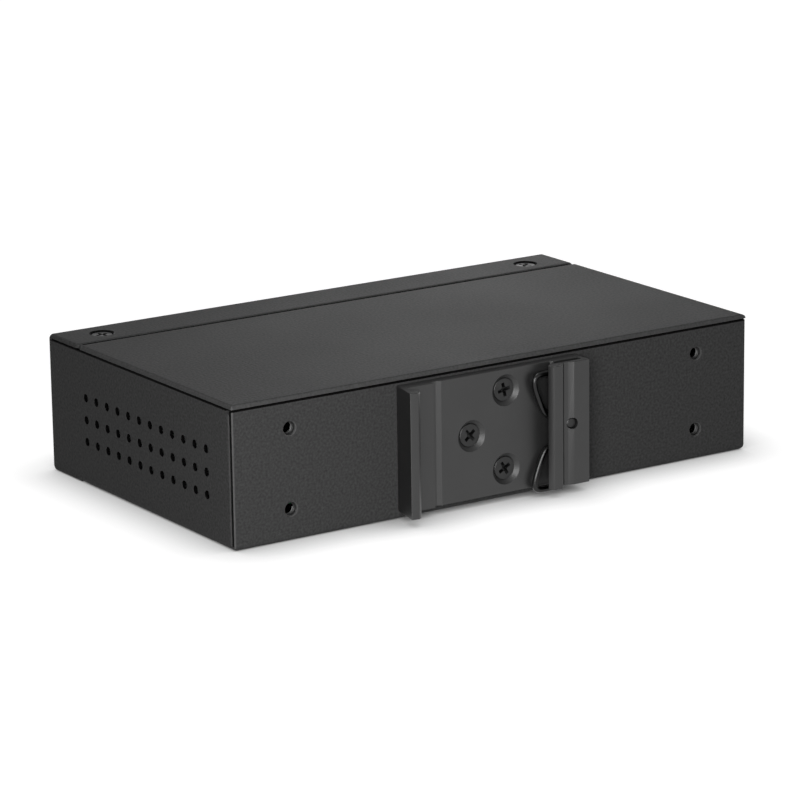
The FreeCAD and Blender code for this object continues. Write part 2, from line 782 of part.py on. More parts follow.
def panel_sinks(panel):
    """Dimples pressed inwards for the countersunk screws of both strips."""
    for name, foot, face, upwards in (("high", LID_UNDER, TOP, False), ("low", "dims.sheet", ZERO, True)):
        dimples = sketch(panel, f"{name}_dimples", "XY_Plane", foot)
        for x in panel_screw_sides():
            circle(dimples, x, PANEL_SCREW_Y, "dims.dimple_diameter")
        pad(panel, dimples, "dims.dimple_depth", backwards=not upwards)
        sinks = sketch(panel, f"{name}_sinks", "XY_Plane", face)
        for x in panel_screw_sides():
            circle(sinks, x, PANEL_SCREW_Y, CLEAR_HOLE)
        sink(panel, sinks, PANEL_SINK, "2 * (dims.sheet + dims.dimple_depth)", backwards=upwards)


def shank_end(length):
    """Lower end of a screw's profile: its shank, tip chamfer and axis."""
    return [(SHANK, f"(dims.screw_tip - {length})"), (f"({SHANK} - dims.screw_tip)", f"-{length}"),
            ("0", f"-{length}")]


def sunk_screw(label, wide, length):
    """Countersunk cross-recess screw; its head is flush with z = 0 and it points down."""
    head = f"{wide}/2"
    screw = turned(label, [("0", "0"), (head, "0"), (SHANK, f"({SHANK} - {head})")] + shank_end(length))
    return cross_recess(screw, ZERO)


def round_screw(label, length):
    """Round-headed cross-recess screw; it points down and its head sits on z = 0."""
    head, top, crown = "dims.round_head/2", "dims.round_head_height", "dims.head_crown"
    cap = [("0", top), (f"({head} - {crown})", top), (head, f"({top} - {crown})"), (head, "0"), (SHANK, "0")]
    screw = turned(label, cap + shank_end(length))
    return cross_recess(screw, top)


def cross_recess(screw, face):
    cross = sketch(screw, "recess", "XY_Plane", face)
    far, near = "dims.recess_span/2", "dims.recess_width/2"
    polygon(cross, [(far, f"-{near}"), (far, near), (near, near), (near, far), (f"-{near}", far),
                    (f"-{near}", near), (f"-{far}", near), (f"-{far}", f"-{near}"), (f"-{near}", f"-{near}"),
                    (f"-{near}", f"-{far}"), (near, f"-{far}"), (near, f"-{near}")])
    pocket(screw, cross, "dims.recess_depth")
    return screw


def panel_screws():
    screw = sunk_screw("panel_screw", "dims.sunk_head", "dims.panel_screw_length")
    level = f"({TOP} - dims.head_sink)"
    spots = [(x, PANEL_SCREW_Y, level, UPRIGHT) for x in panel_screw_sides()]
    spots += [(x, PANEL_SCREW_Y, "dims.head_sink", INVERTED) for x in panel_screw_sides()]
    return copies("panel_screws", screw, spots)


def clip_screws():
    screw = sunk_screw("clip_screw", "dims.clip_screw_head", "dims.clip_screw_length")
    level = behind("dims.plate_rise - dims.clip_screw_sink")
    return copies("clip_screws", screw, [(x, level, z, FACING_BACK) for x, z in clip_screw_spots()])


def din_clip():
    """Extruded rail clip: hook, seat, plate and the block with the spring's slot."""
    clip = body("din_clip")
    profile = sketch(clip, "profile", "XY_Plane", MIDDLE)
    lip_root = "(dims.clip_left + dims.hook_wall)"
    lip_end = f"({lip_root} + dims.lip_reach)"
    lip_under = "(dims.seat_rise + dims.rail_slot)"
    tip_left = "(dims.clip_left - dims.clip_lean)"
    tip_right = f"({tip_left} + dims.hook_tip_width)"
    nose_right = "(dims.nose_tip + dims.nose_width)"
    outline = [
        ("dims.clip_left", "0"),
        (tip_left, "dims.hook_rise"),
        (tip_right, "dims.hook_rise"),
        (lip_end, "(dims.hook_rise - dims.lip_drop)"),
        (lip_end, lip_under),
        (lip_root, lip_under),
        (lip_root, "dims.seat_rise"),
        ("dims.seat_end", "dims.seat_rise"),
        ("dims.seat_end", "dims.groove_rise"),
        ("dims.groove_end", "dims.groove_rise"),
        ("dims.plate_start", "dims.plate_rise"),
        ("dims.nose_base", "dims.plate_rise"),
        ("dims.nose_base", "dims.spring_slot_floor"),
        ("dims.spring_slot_end", "dims.spring_slot_floor"),
        ("dims.spring_slot_end", SLOT_ROOF),
        ("dims.nose_base", SLOT_ROOF),
        ("dims.nose_tip", "dims.nose_rise"),
        (nose_right, "dims.nose_rise"),
        (f"({nose_right} + dims.nose_taper)", "dims.step_rise"),
        ("dims.step_start", "dims.step_rise"),
        ("dims.step_end", "dims.block_rise"),
        ("dims.clip_right", "dims.block_rise"),
        ("dims.clip_right", "0"),
    ]
    polygon(profile, [(along(x), behind(rise)) for x, rise in outline])
    pad(clip, profile, f"2 * {CLIP_HALF}", both_ways=True)
    hook_edges = [{"x": along(x), "y": behind("dims.hook_rise")} for x in (tip_left, tip_right)]
    soften(clip, "Fillet", "dims.hook_round", hook_edges)
    nose_edges = [{"x": along("dims.nose_tip"), "y": behind("dims.nose_rise")}]
    soften(clip, "Fillet", "dims.nose_round", nose_edges)
    sinks = sketch(clip, "sinks", "XZ_Plane", f"-{behind('dims.plate_rise')}")
    for x, z in clip_screw_spots():
        circle(sinks, x, z, CLEAR_HOLE)
    sink(clip, sinks, CLIP_SINK, "2 * dims.plate_rise")
    bore = sketch(clip, "pin_bore", "XZ_Plane", f"-{behind('dims.hook_rise')}")
    circle(bore, along("dims.pin_at"), MIDDLE, "dims.pin_diameter")
    pocket(clip, bore, "(dims.hook_rise - dims.pin_root)")
    return clip


def clip_pin():
    """Dowel that crosses the spring's slot and keeps the wire in it."""
    front = "(dims.step_rise - dims.pin_sink)"
    foot = (along("dims.pin_at"), behind(front), MIDDLE)
    return rod("clip_pin", foot, "dims.pin_diameter", f"({front} - dims.pin_root)", FACING_FRONT)


def rounded_path(points, radii):
    """Straight runs joined by tangent arcs; each inner point has a radius."""
    edges = []
    start = points[0]
    for before, corner, after, radius in zip(points, points[1:], points[2:], radii):
        arrive = (corner - before).normalize()
        leave = (after - corner).normalize()
        reach = radius * tan(arrive.getAngle(leave) / 2)
        first = corner - arrive * reach
        last = corner + leave * reach
        inward = (leave - arrive).normalize()
        centre = corner + inward * (radius**2 + reach**2) ** 0.5
        edges.append(Part.LineSegment(start, first).toShape())
        edges.append(Part.Arc(first, centre - inward * radius, last).toShape())
        start = last
    edges.append(Part.LineSegment(start, points[-1]).toShape())
    return edges


def clip_spring():
    """Bent wire: two bows in front of the nose, and a middle loop behind the pin."""
    wire = size("dims.wire_diameter")
    clearance = size("(dims.pin_diameter + dims.wire_diameter)/2 + dims.fit_gap")
    loop_height = clearance + size("dims.spring_drop")
    depth = size(behind(f"(dims.spring_slot_floor + {SLOT_ROOF})/2"))
    level = size(f"{MIDDLE} - dims.spring_drop")

    def spot(from_end, height):
        return Vector(size(along(from_end)), depth, level + height)

    upper = [spot("dims.bow_end_reach", size(f"{CLIP_HALF} - dims.bow_end_inset")),
             spot("dims.bow_reach", size(f"{CLIP_HALF} - dims.bow_inset")),
             spot("dims.leg_turn_at", loop_height),
             spot("dims.pin_at", loop_height) + Vector(clearance, 0, 0)]
    lower = [Vector(point.x, depth, 2 * level - point.z) for point in reversed(upper)]
    bends = [size(f"dims.{name}") for name in ("bow_round", "leg_round", "loop_round")]
    path = Part.Wire(rounded_path(upper + lower, bends + bends[::-1]))
    section = Part.Wire(Part.Circle(upper[0], upper[1] - upper[0], wire / 2).toShape())
    spring = doc.addObject("Part::Feature", "clip_spring")
    spring.Label = "clip_spring"
    spring.Shape = path.makePipeShell([section], True, True)
    spring.Placement = FreeCAD.Placement()
    expected = pi * wire**2 / 4 * path.Length
    if abs(spring.Shape.Volume / expected - 1) > 0.02:
        raise ValueError("the spring's volume does not match its length")
    return spring


def circuit_board():
    board = body("circuit_board")
    outline = sketch(board, "outline", "XY_Plane", BOARD_UNDER)
    rectangle(outline, f"({WALL_INSIDE_LEFT} + dims.board_side_gap)",
              f"({WALL_INSIDE_BACK} + dims.board_back_gap)",
              f"({WALL_INSIDE_RIGHT} - dims.board_side_gap)",
              f"({WALL_INSIDE_FRONT} - dims.board_front_gap)")
    pad(board, outline, "dims.board_thick")
    holes = sketch(board, "holes", "XY_Plane", BOARD_TOP)
    for x, y in standoff_spots():
        circle(holes, x, y, CLEAR_HOLE)
    for y in pole_rows():
        circle(holes, PIN_X, y, "(sqrt(2) * dims.header_pin + 2 * dims.fit_gap)")
    pocket(board, holes, "2 * dims.board_thick")
    return board


def board_standoffs():
    """Round standoffs pressed into the floor, each with a blind thread."""
    shank, post, bore = "dims.standoff_shank/2", "dims.standoff_diameter/2", "dims.thread_diameter/2"
    well = "(dims.sheet + dims.standoff_floor)"
    profile = [("0", "0"), (shank, "0"), (shank, "dims.sheet"), (post, "dims.sheet"),
               (post, BOARD_UNDER), (bore, BOARD_UNDER), (bore, well), ("0", well)]
    standoff = turned("standoff", profile)
    return copies("board_standoffs", standoff, [(x, y, "0", UPRIGHT) for x, y in standoff_spots()])


def board_screws():
    screw = round_screw("board_screw", "dims.board_screw_length")
    return copies("board_screws", screw, [(x, y, BOARD_TOP, UPRIGHT) for x, y in standoff_spots()])


def copper_port():
    """Shielded eight-contact socket: metal skin, moulded housing and sprung contacts."""
    skin, gap = "dims.port_skin", "dims.fit_gap"
    wide, deep, tall = "dims.copper_width", "dims.copper_depth", "dims.copper_height"
    shield = body("copper_shield")
    outside = sketch(shield, "outside", "XZ_Plane", f"-{PORT_FACE}")
    centred(outside, COPPER_X, f"({BOARD_TOP} + {tall}/2)", wide, tall)
    pad(shield, outside, deep)
    inside = sketch(shield, "inside", "XZ_Plane", f"-{PORT_FACE}")
    centred(inside, COPPER_X, f"({BOARD_TOP} + {tall}/2 - {skin})", f"({wide} - 2*{skin})", tall)
    pocket(shield, inside, f"({deep} - {skin})", backwards=True)
    housing = body("copper_housing")
    core = sketch(housing, "core", "XZ_Plane", f"-({PORT_FACE} - {gap})")
    core_tall = f"({tall} - {skin} - {gap})"
    centred(core, COPPER_X, f"({BOARD_TOP} + {core_tall}/2)", f"({wide} - 2*{skin} - 2*{gap})", core_tall)
    pad(housing, core, f"({deep} - {skin} - 2*{gap})")
    mouth = sketch(housing, "mouth", "XZ_Plane", f"-{PORT_FACE}")
    side, latch = "dims.plug_width/2", "dims.latch_width/2"
    key = f"({COPPER_MOUTH_FLOOR} - dims.latch_height)"
    half_mouth = [(latch, key), (latch, COPPER_MOUTH_FLOOR), (side, COPPER_MOUTH_FLOOR),
                  (side, COPPER_MOUTH_ROOF)]
    right = [(f"({COPPER_X} + {x})", z) for x, z in half_mouth]
    left = [(f"({COPPER_X} - {x})", z) for x, z in reversed(half_mouth)]
    polygon(mouth, right + left)
    pocket(housing, mouth, "dims.plug_depth", backwards=True)
    copper_contacts()


def copper_contacts():
    """Eight sprung strips that slope from the roof of the mouth towards its back."""
    strips = body("copper_contacts")
    width = "dims.contact_width"
    first = f"({COPPER_X} - dims.contact_pitch * (dims.contact_count - 1)/2)"
    drawing = sketch(strips, "strip", "YZ_Plane", first)
    roof = COPPER_MOUTH_ROOF
    near = f"({PORT_FACE} - dims.contact_from_face)"
    far = f"({COPPER_MOUTH_BACK} + dims.fit_gap)"
    low = f"({roof} - dims.contact_drop)"
    polygon(drawing, [(near, roof), (f"({near} - {width})", roof), (far, f"({low} + {width})"), (far, low),
                      (f"({far} + {width})", low), (near, f"({roof} - {width})")])
    strip = pad(strips, drawing, width, both_ways=True)
    pattern(strips, strip, "X_Axis", "dims.contact_pitch", "dims.contact_count")


def fibre_port():
    """Cage for a plug-in optical module, with the board connector at its far end."""
    skin, rim = "dims.port_skin", "dims.collar_rim"
    wide, deep, tall = "dims.cage_width", "dims.cage_depth", "dims.cage_height"
    cage = body("fibre_cage")
    outside = sketch(cage, "outside", "XZ_Plane", f"-{PORT_FACE}")
    centred(outside, FIBRE_X, f"({BOARD_TOP} + {tall}/2)", wide, tall)
    pad(cage, outside, deep)
    collar = sketch(cage, "collar", "XZ_Plane", f"-{ARM_END}")
    collar_tall = f"({tall} + {rim})"
    centred(collar, FIBRE_X, f"({BOARD_TOP} + {collar_tall}/2)", f"({wide} + 2*{rim})", collar_tall)
    pad(cage, collar, "dims.collar_depth")
    inside = sketch(cage, "inside", "XZ_Plane", f"-{PORT_FACE}")
    centred(inside, FIBRE_X, f"({BOARD_TOP} + {tall}/2)", f"({wide} - 2*{skin})", f"({tall} - 2*{skin})")
    pocket(cage, inside, f"({deep} - {skin})", backwards=True)
    connector = body("fibre_connector")
    front = f"({CONNECTOR_BACK} + dims.connector_depth)"
    middle = f"({BOARD_TOP} + {skin} + dims.fit_gap + dims.connector_height/2)"
    core = sketch(connector, "core", "XZ_Plane", f"-{front}")
    centred(core, FIBRE_X, middle, "dims.connector_width", "dims.connector_height")
    pad(connector, core, "dims.connector_depth")
    slot = sketch(connector, "slot", "XZ_Plane", f"-{front}")
    centred(slot, FIBRE_X, middle, "dims.connector_slot_width", "dims.connector_slot_height")
    pocket(connector, slot, "dims.connector_slot_depth", backwards=True)


def pole_rows():
    return row_of("0", "dims.pole_pitch", "dims.pole_count")


def pin_outline(grow):
    """Side view of a header pin: its run into the plug and its tail through the board."""
    half = f"(dims.header_pin/2 + {grow})"
    tip = f"({HEADER_INSIDE} + dims.header_pin_reach)"
    foot = f"({BOARD_UNDER} - dims.pin_tail)"
    inner, outer = f"({PIN_X} + {half})", f"({PIN_X} - {half})"
    low, high = f"({POLE_Z} - {half})", f"({POLE_Z} + {half})"
    return [(outer, foot), (inner, foot), (inner, low), (tip, low), (tip, high), (outer, high)]


def power_header():
    """Moulded header on the board, open towards the end wall, with its bent pins."""
    header = body("terminal_header")
    core = sketch(header, "core", "YZ_Plane", RIGHT)
    centred(core, "0", POLE_Z, HEADER_WIDTH, "dims.header_height")
    pad(header, core, "dims.header_depth", backwards=True)
    room = sketch(header, "room", "YZ_Plane", RIGHT)
    centred(room, "0", POLE_Z, POLE_SPAN, "(dims.header_height - 2 * dims.header_wall)")
    pocket(header, room, "(dims.header_depth - dims.header_floor)")
    channel = sketch(header, "pin_channel", "XZ_Plane", f"-{FIRST_POLE}")
    polygon(channel, pin_outline("dims.fit_gap"))
    slot = pocket(header, channel, "(dims.header_pin + 2 * dims.fit_gap)", both_ways=True)
    pattern(header, slot, "Y_Axis", "dims.pole_pitch", "dims.pole_count")
    pin = body("header_pin")
    outline = sketch(pin, "outline", "XZ_Plane")
    polygon(outline, pin_outline("0"))
    pad(pin, outline, "dims.header_pin", both_ways=True)
    copies("terminal_pins", pin, [("0", y, "0", UPRIGHT) for y in pole_rows()])


def power_plug():
    """Screw plug: a stepped side profile with wire entries, clamp rooms and screw wells."""
    plug = body("terminal_plug")
    gap = "dims.fit_gap"
    bevel = "dims.screw_plug_bevel"
    side = sketch(plug, "side", "XZ_Plane")
    shoulder = f"({RIGHT} + dims.screw_plug_gap)"
    polygon(side, [(SCREW_PLUG_BACK, SCREW_PLUG_LOW), (SCREW_PLUG_END, SCREW_PLUG_LOW),
                   (SCREW_PLUG_END, f"({SCREW_PLUG_TOP} - {bevel})"),
                   (f"({SCREW_PLUG_END} - {bevel})", SCREW_PLUG_TOP), (shoulder, SCREW_PLUG_TOP),
                   (shoulder, SCREW_PLUG_STEP), (SCREW_PLUG_BACK, SCREW_PLUG_STEP)])
    pad(plug, side, f"({POLE_SPAN} - 2 * dims.screw_plug_gap)", both_ways=True)
    room_side = f"({CLAMP_SIDE} + 2*{gap})"
    room_front = f"({CLAMP_X} + dims.clamp_length/2 + {gap})"
    pin_side = "(dims.header_pin + 2 * dims.pin_clearance)"
    entry = sketch(plug, "wire_entry", "YZ_Plane", SCREW_PLUG_END)
    circle(entry, FIRST_POLE, POLE_Z, "dims.wire_entry")
    room = sketch(plug, "clamp_room", "YZ_Plane", room_front)
    centred(room, FIRST_POLE, POLE_Z, room_side, room_side)
    tunnel = sketch(plug, "pin_tunnel", "YZ_Plane", SCREW_PLUG_BACK)
    centred(tunnel, FIRST_POLE, POLE_Z, pin_side, pin_side)
    well = sketch(plug, "screw_well", "XY_Plane", SCREW_PLUG_TOP)
    circle(well, CLAMP_X, FIRST_POLE, f"(dims.clamp_screw_head + 2*{gap})")
    cuts = ((entry, f"({SCREW_PLUG_END} - {CLAMP_X})", False),
            (room, f"(dims.clamp_length + 2*{gap})", False),
            (tunnel, "(dims.header_pin_reach + dims.pin_clearance)", True),
            (well, f"({SCREW_PLUG_TOP} - {POLE_Z})", False))
    for drawing, length, backwards in cuts:
        hole = pocket(plug, drawing, length, backwards)
        pattern(plug, hole, "Y_Axis", "dims.pole_pitch", "dims.pole_count")
    groove = sketch(plug, "groove", "YZ_Plane", SCREW_PLUG_END)
    centred(groove, f"({FIRST_POLE} + dims.pole_pitch/2)", POLE_Z, "dims.screw_plug_groove",
            "3 * dims.header_height")
    line = pocket(plug, groove, "dims.screw_plug_groove")
    pattern(plug, line, "Y_Axis", "dims.pole_pitch", "dims.pole_count - 1")


def plug_clamps():
    """Square wire clamps in the screw plug, each with its slotted screw."""
    clamp = body("wire_clamp")
    frame = sketch(clamp, "frame", "YZ_Plane")
    centred(frame, "0", "0", CLAMP_SIDE, CLAMP_SIDE)
    centred(frame, "0", "0", "dims.wire_entry", "dims.wire_entry")
    pad(clamp, frame, "dims.clamp_length", both_ways=True)
    thread = sketch(clamp, "thread", "XY_Plane", f"{CLAMP_SIDE}/2")
    circle(thread, "0", "0", "(dims.clamp_screw_shank + 2 * dims.fit_gap)")
    pocket(clamp, thread, "1.5 * dims.clamp_wall")
    copies("terminal_clamps", clamp, [(CLAMP_X, y, POLE_Z, UPRIGHT) for y in pole_rows()])
    head, shank = "dims.clamp_screw_head/2", "dims.clamp_screw_shank/2"
    under = "-dims.clamp_screw_head_height"
    tip = f"({POLE_Z} + dims.clamp_screw_reach - {CLAMP_SCREW_FACE})"
    profile = [("0", "0"), (head, "0"), (head, under), (shank, under), (shank, tip), ("0", tip)]
    screw = turned("clamp_screw", profile)
    slot = sketch(screw, "slot", "XY_Plane")
    centred(slot, "0", "0", "2 * dims.clamp_screw_head", "dims.clamp_slot_width")
    pocket(screw, slot, "dims.clamp_slot_depth")
    copies("terminal_screws", screw, [(CLAMP_X, y, CLAMP_SCREW_FACE, UPRIGHT) for y in pole_rows()])


def lamp_columns():
    return row_of(LAMP_X, "dims.lamp_pitch", "dims.lamp_count")


def lamps():
    """Round lamps that look through the front wall, each in a holder on the board."""
    stem = rod("lamp_stem", ("0", "-dims.lamp_length", "0"), "dims.lamp_diameter",
               "(dims.lamp_length - dims.lamp_diameter/2)", FACING_FRONT)
    dome = doc.addObject("Part::Sphere", "lamp_dome")
    dome.setExpression("Radius", "dims.lamp_diameter/2")
    place(dome, "0", "-dims.lamp_diameter/2", "0")
    lamp = fuse("lamp", [stem, dome])
    copies("lamps", lamp, [(x, FRONT, LAMP_Z, UPRIGHT) for x in lamp_columns()])
    wide = "dims.holder_width"
    core = block("holder_core", "0", f"({ARM_END} - dims.holder_depth/2)", BOARD_TOP,
                 (wide, "dims.holder_depth", f"(dims.lamp_rise + {wide}/2)"))
    bore = rod("holder_bore", ("0", f"{FRONT} - dims.lamp_length", LAMP_Z), "dims.lamp_diameter",
               "2 * dims.lamp_length", FACING_FRONT)
    holder = cut("lamp_holder", core, bore)
    copies("lamp_holders", holder, [(x, "0", "0", UPRIGHT) for x in lamp_columns()])


def legs(owner, axis, middle, beside, half, pitch, count, tall):
    """Bent legs in a row along an axis, on both sides of a moulded body."""
    thick = "dims.leg_thick"
    knee = f"({half} + dims.leg_reach/2)"
    level = f"({BOARD_TOP} + {tall}/2)"
    first = f"({middle} - {pitch} * ({count} - 1)/2)"
    plane, offset = ("YZ_Plane", first) if axis == "X_Axis" else ("XZ_Plane", f"-{first}")
    pair = sketch(owner, f"legs_{axis[0].lower()}", plane, offset)
    side_view = [(f"({half} - {thick})", level), (f"({knee} - {thick})", level),
                 (f"({knee} - {thick})", BOARD_TOP), (f"({half} + dims.leg_reach)", BOARD_TOP),
                 (f"({half} + dims.leg_reach)", f"({BOARD_TOP} + {thick})"),
                 (knee, f"({BOARD_TOP} + {thick})"), (knee, f"({level} + {thick})"),
                 (f"({half} - {thick})", f"({level} + {thick})")]
    for sign in "-+":
        polygon(pair, [(f"({beside} {sign} {out})", z) for out, z in side_view])
    bent = pad(owner, pair, "dims.leg_width", both_ways=True)
    pattern(owner, bent, axis, pitch, count)


def chip(label, x, y, spans, pitch, count, all_round=False):
    """Moulded body with bevelled top edges and legs along its length, or on all four sides."""
    wide, deep, tall = spans
    made = block(label, x, y, BOARD_TOP, spans)
    soften(made, "Chamfer", "dims.chip_bevel", [{"z": f"({BOARD_TOP} + {tall})"}])
    legs(made, "X_Axis", x, y, f"{deep}/2", pitch, count, tall)
    if all_round:
        legs(made, "Y_Axis", y, x, f"{wide}/2", pitch, count, tall)


def components():
    """Chips and the clock crystal, soldered to the board."""
    switch_x = "-dims.switch_from_middle"
    chip("port_magnetics", COPPER_X, f"({COPPER_BACK} - dims.magnetics_from_port)",
         ("dims.magnetics_length", "dims.magnetics_depth", "dims.magnetics_height"),
         "dims.leg_pitch_wide", "dims.magnetics_legs")
    chip("switch_chip", switch_x, f"({FRONT} - dims.switch_from_front)",
         ("dims.switch_side", "dims.switch_side", "dims.switch_height"),
         "dims.leg_pitch_fine", "dims.switch_legs", all_round=True)
    chip("memory_chip", COPPER_X, f"({FRONT} - dims.memory_from_front)",
         ("dims.memory_length", "dims.memory_depth", "dims.memory_height"),
         "dims.leg_pitch_wide", "dims.memory_legs")
    chip("converter_chip", f"({RIGHT} - dims.converter_from_power)", f"({BACK} + dims.converter_from_back)",
         ("dims.converter_length", "dims.converter_depth", "dims.converter_height"),
         "dims.leg_pitch_wide", "dims.converter_legs")
    clock_crystal(switch_x, f"({FRONT} - dims.crystal_from_front)")


def clock_crystal(x, y):
    """Drawn can with round ends, welded to a flat flange."""
    flange = "dims.crystal_flange"
    wide, deep, tall = "dims.crystal_length", "dims.crystal_depth", "dims.crystal_height"
    can = block("clock_crystal", x, y, BOARD_TOP, (wide, deep, flange))
    drawn = sketch(can, "can", "XY_Plane", BOARD_TOP)
    centred(drawn, x, y, f"({wide} - 2*{flange})", f"({deep} - 2*{flange})")
    pad(can, drawn, tall)
    for inset in ("0", flange):
        ends = [{"x": f"({x} {a} ({wide}/2 - {inset}))", "y": f"({y} {b} ({deep}/2 - {inset}))"}
                for a in "-+" for b in "-+"]
        soften(can, "Fillet", f"({deep}/2 - {inset} - dims.fit_gap)", ends)
    soften(can, "Fillet", "dims.crystal_round", [{"z": f"({BOARD_TOP} + {tall})"}])


def power_inductor():
    """Moulded eight-sided inductor with a bevelled top and a shallow round dish in it."""
    half, top = "dims.inductor_side/2", "dims.inductor_height"
    made = block("inductor", "0", "0", ZERO, ("dims.inductor_side", "dims.inductor_side", top))
    corners = [{"x": f"{a}{half}", "y": f"{b}{half}"} for a in ("-", "") for b in ("-", "")]
    soften(made, "Chamfer", "dims.inductor_corner", corners)
    soften(made, "Chamfer", "dims.inductor_bevel", [{"z": top}])
    dish = sketch(made, "dish", "XY_Plane", top)
    circle(dish, "0", "0", "dims.inductor_dish")
    pocket(made, dish, "dims.inductor_bevel")
    return made


def bulk_capacitor():
    """Drawn can with a crimp above its foot, a bevelled top edge and a sunk top."""
    radius, top, bend = "dims.capacitor_diameter/2", "dims.capacitor_height", "dims.capacitor_round"
    crimp, groove = "dims.capacitor_crimp", "dims.capacitor_crimp_depth"
    vent, dip = "dims.capacitor_vent", "dims.capacitor_vent_depth"
    return turned("capacitor", [
        ("0", "0"), (radius, "0"), (radius, f"({crimp} - {groove})"), (f"({radius} - {groove})", crimp),
        (radius, f"({crimp} + {groove})"), (radius, f"({top} - {bend})"), (f"({radius} - {bend})", top),
        (vent, top), (f"({vent} - {dip})", f"({top} - {dip})"), ("0", f"({top} - {dip})")])


def component_rows():
    """Inductors and capacitors in rows along the board, and surge diodes in a row across it."""
    inductor = power_inductor()
    diode = block("diode", "0", "0", ZERO, ("dims.diode_length", "dims.diode_depth", "dims.diode_height"))
    soften(diode, "Chamfer", "dims.diode_bevel", [{"z": "dims.diode_height"}])
    capacitor = bulk_capacitor()
    for label, piece, name, across in (("power_inductors", inductor, "inductor", False),
                                       ("surge_diodes", diode, "diode", True),
                                       ("bulk_capacitors", capacitor, "capacitor", False)):
        spots = []
        for number in range(round(size(f"dims.{name}_count"))):
            step = f"{number} * dims.{name}_pitch"
            x = f"({RIGHT} - dims.{name}_from_power)"
            y = f"({BACK} + dims.{name}_from_back)"
            spots.append((x, f"({y} + {step})", BOARD_TOP, UPRIGHT) if across
                         else (f"({x} - {step})", y, BOARD_TOP, UPRIGHT))
        copies(label, piece, spots)


def earth_point():
    """Earth screw on the power end, with a toothed washer under its head."""
    screw = round_screw("earth_bolt", "dims.earth_screw_length")
    seat = f"({RIGHT} + dims.washer_thick)"
    copies("earth_screw", screw, [(seat, EARTH_Y, EARTH_Z, FACING_RIGHT)])
    washer = body("toothed_washer")
    ring = sketch(washer, "ring", "XY_Plane")
    circle(ring, "0", "0", "dims.washer_diameter")
    circle(ring, "0", "0", CLEAR_HOLE)
    pad(washer, ring, "dims.washer_thick")
    notch = sketch(washer, "notch", "XY_Plane", "dims.washer_thick")
    circle(notch, "dims.washer_diameter/2", "0", "dims.washer_notch")
    ring_of(washer, pocket(washer, notch, "dims.washer_thick"), "dims.washer_teeth")
    copies("earth_washer", washer, [(RIGHT, EARTH_Y, EARTH_Z, FACING_RIGHT)])


NODES = [
    "case_tray", "lid", "front_panel", "panel_screws",
    "din_clip", "clip_spring", "clip_pin", "clip_screws",
    "circuit_board", "board_standoffs", "board_screws",
    "copper_shield", "copper_housing", "copper_contacts",
    "fibre_cage", "fibre_connector",
    "terminal_header", "terminal_pins", "terminal_plug", "terminal_clamps", "terminal_screws",
    "lamps", "lamp_holders",
    "earth_screw", "earth_washer",
    "port_magnetics", "switch_chip", "clock_crystal", "memory_chip", "converter_chip",
    "power_inductors", "surge_diodes", "bulk_capacitors",
]


def build():
    case_tray()
    lid()
    front_panel()
    panel_screws()
    din_clip()
    clip_spring()
    clip_pin()
    clip_screws()
    circuit_board()
    board_standoffs()
    board_screws()
    copper_port()
    fibre_port()
    power_header()
    power_plug()
    plug_clamps()
    lamps()
    components()
    component_rows()
    earth_point()
    doc.recompute()


def write():
    """Check every object, then write one file for each node."""
    for thing in doc.Objects:
        if "Invalid" in thing.State or "Error" in thing.State:
            raise ValueError(f"{thing.Label} failed: {thing.State}")
    os.makedirs("parts", exist_ok=True)
    for label in NODES:
        shape = doc.getObjectsByLabel(label)[0].Shape
        if shape.isNull() or not shape.isValid():
            raise ValueError(f"{label} has no valid shape")
        shape.exportStep(f"parts/{label}.step")
        print(f"{label}: {len(shape.Solids)} solids, {shape.Volume:.1f} cubic millimetres")


build()
write()
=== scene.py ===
# %% [markdown]
# # A media converter for a cabinet rail
# The object is a small black steel box. Its back carries an aluminium clip that hooks over a
# mounting rail, and its ports, lamps and power terminal are on the other sides. The exact shapes
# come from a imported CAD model, which loads here as a fixed frame in metres. This lesson gives each
# CAD part its finish, and makes the small parts whose detail the CAD model leaves out.

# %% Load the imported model
import math

import bmesh
import bpy
from mathutils import Matrix, Vector


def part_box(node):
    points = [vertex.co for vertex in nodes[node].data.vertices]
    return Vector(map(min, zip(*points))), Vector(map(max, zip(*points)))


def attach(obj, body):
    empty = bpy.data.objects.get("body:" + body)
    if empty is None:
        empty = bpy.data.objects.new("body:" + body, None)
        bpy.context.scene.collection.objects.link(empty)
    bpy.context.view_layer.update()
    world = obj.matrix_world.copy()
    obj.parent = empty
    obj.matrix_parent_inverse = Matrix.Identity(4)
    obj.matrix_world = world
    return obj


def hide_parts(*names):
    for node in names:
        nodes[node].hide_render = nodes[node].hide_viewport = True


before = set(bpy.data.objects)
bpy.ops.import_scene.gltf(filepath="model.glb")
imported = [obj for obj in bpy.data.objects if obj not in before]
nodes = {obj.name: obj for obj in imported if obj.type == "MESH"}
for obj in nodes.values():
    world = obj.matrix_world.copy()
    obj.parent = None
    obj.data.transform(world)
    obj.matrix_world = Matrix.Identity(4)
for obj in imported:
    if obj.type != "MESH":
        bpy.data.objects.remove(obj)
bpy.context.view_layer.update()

MM = 0.001
scene = bpy.context.scene
print("CAD nodes:", len(nodes))

# %% [markdown]
# ## The camera
# A product photograph is taken from some way off with a long lens, so that edges stay nearly
# parallel. The camera stands to the left of the clip side, a little above the lid. It is placed by
# its eye, the point that it looks at and a slight roll, which is easier to read than a matrix.

# %% Place the camera
EYE = Vector((-408.32, -619.84, 208.67)) * MM
AIM = Vector((-3.468, -5.453, 14.0)) * MM
ROLL = math.radians(-0.814)
LENS_LENGTH = 172.9

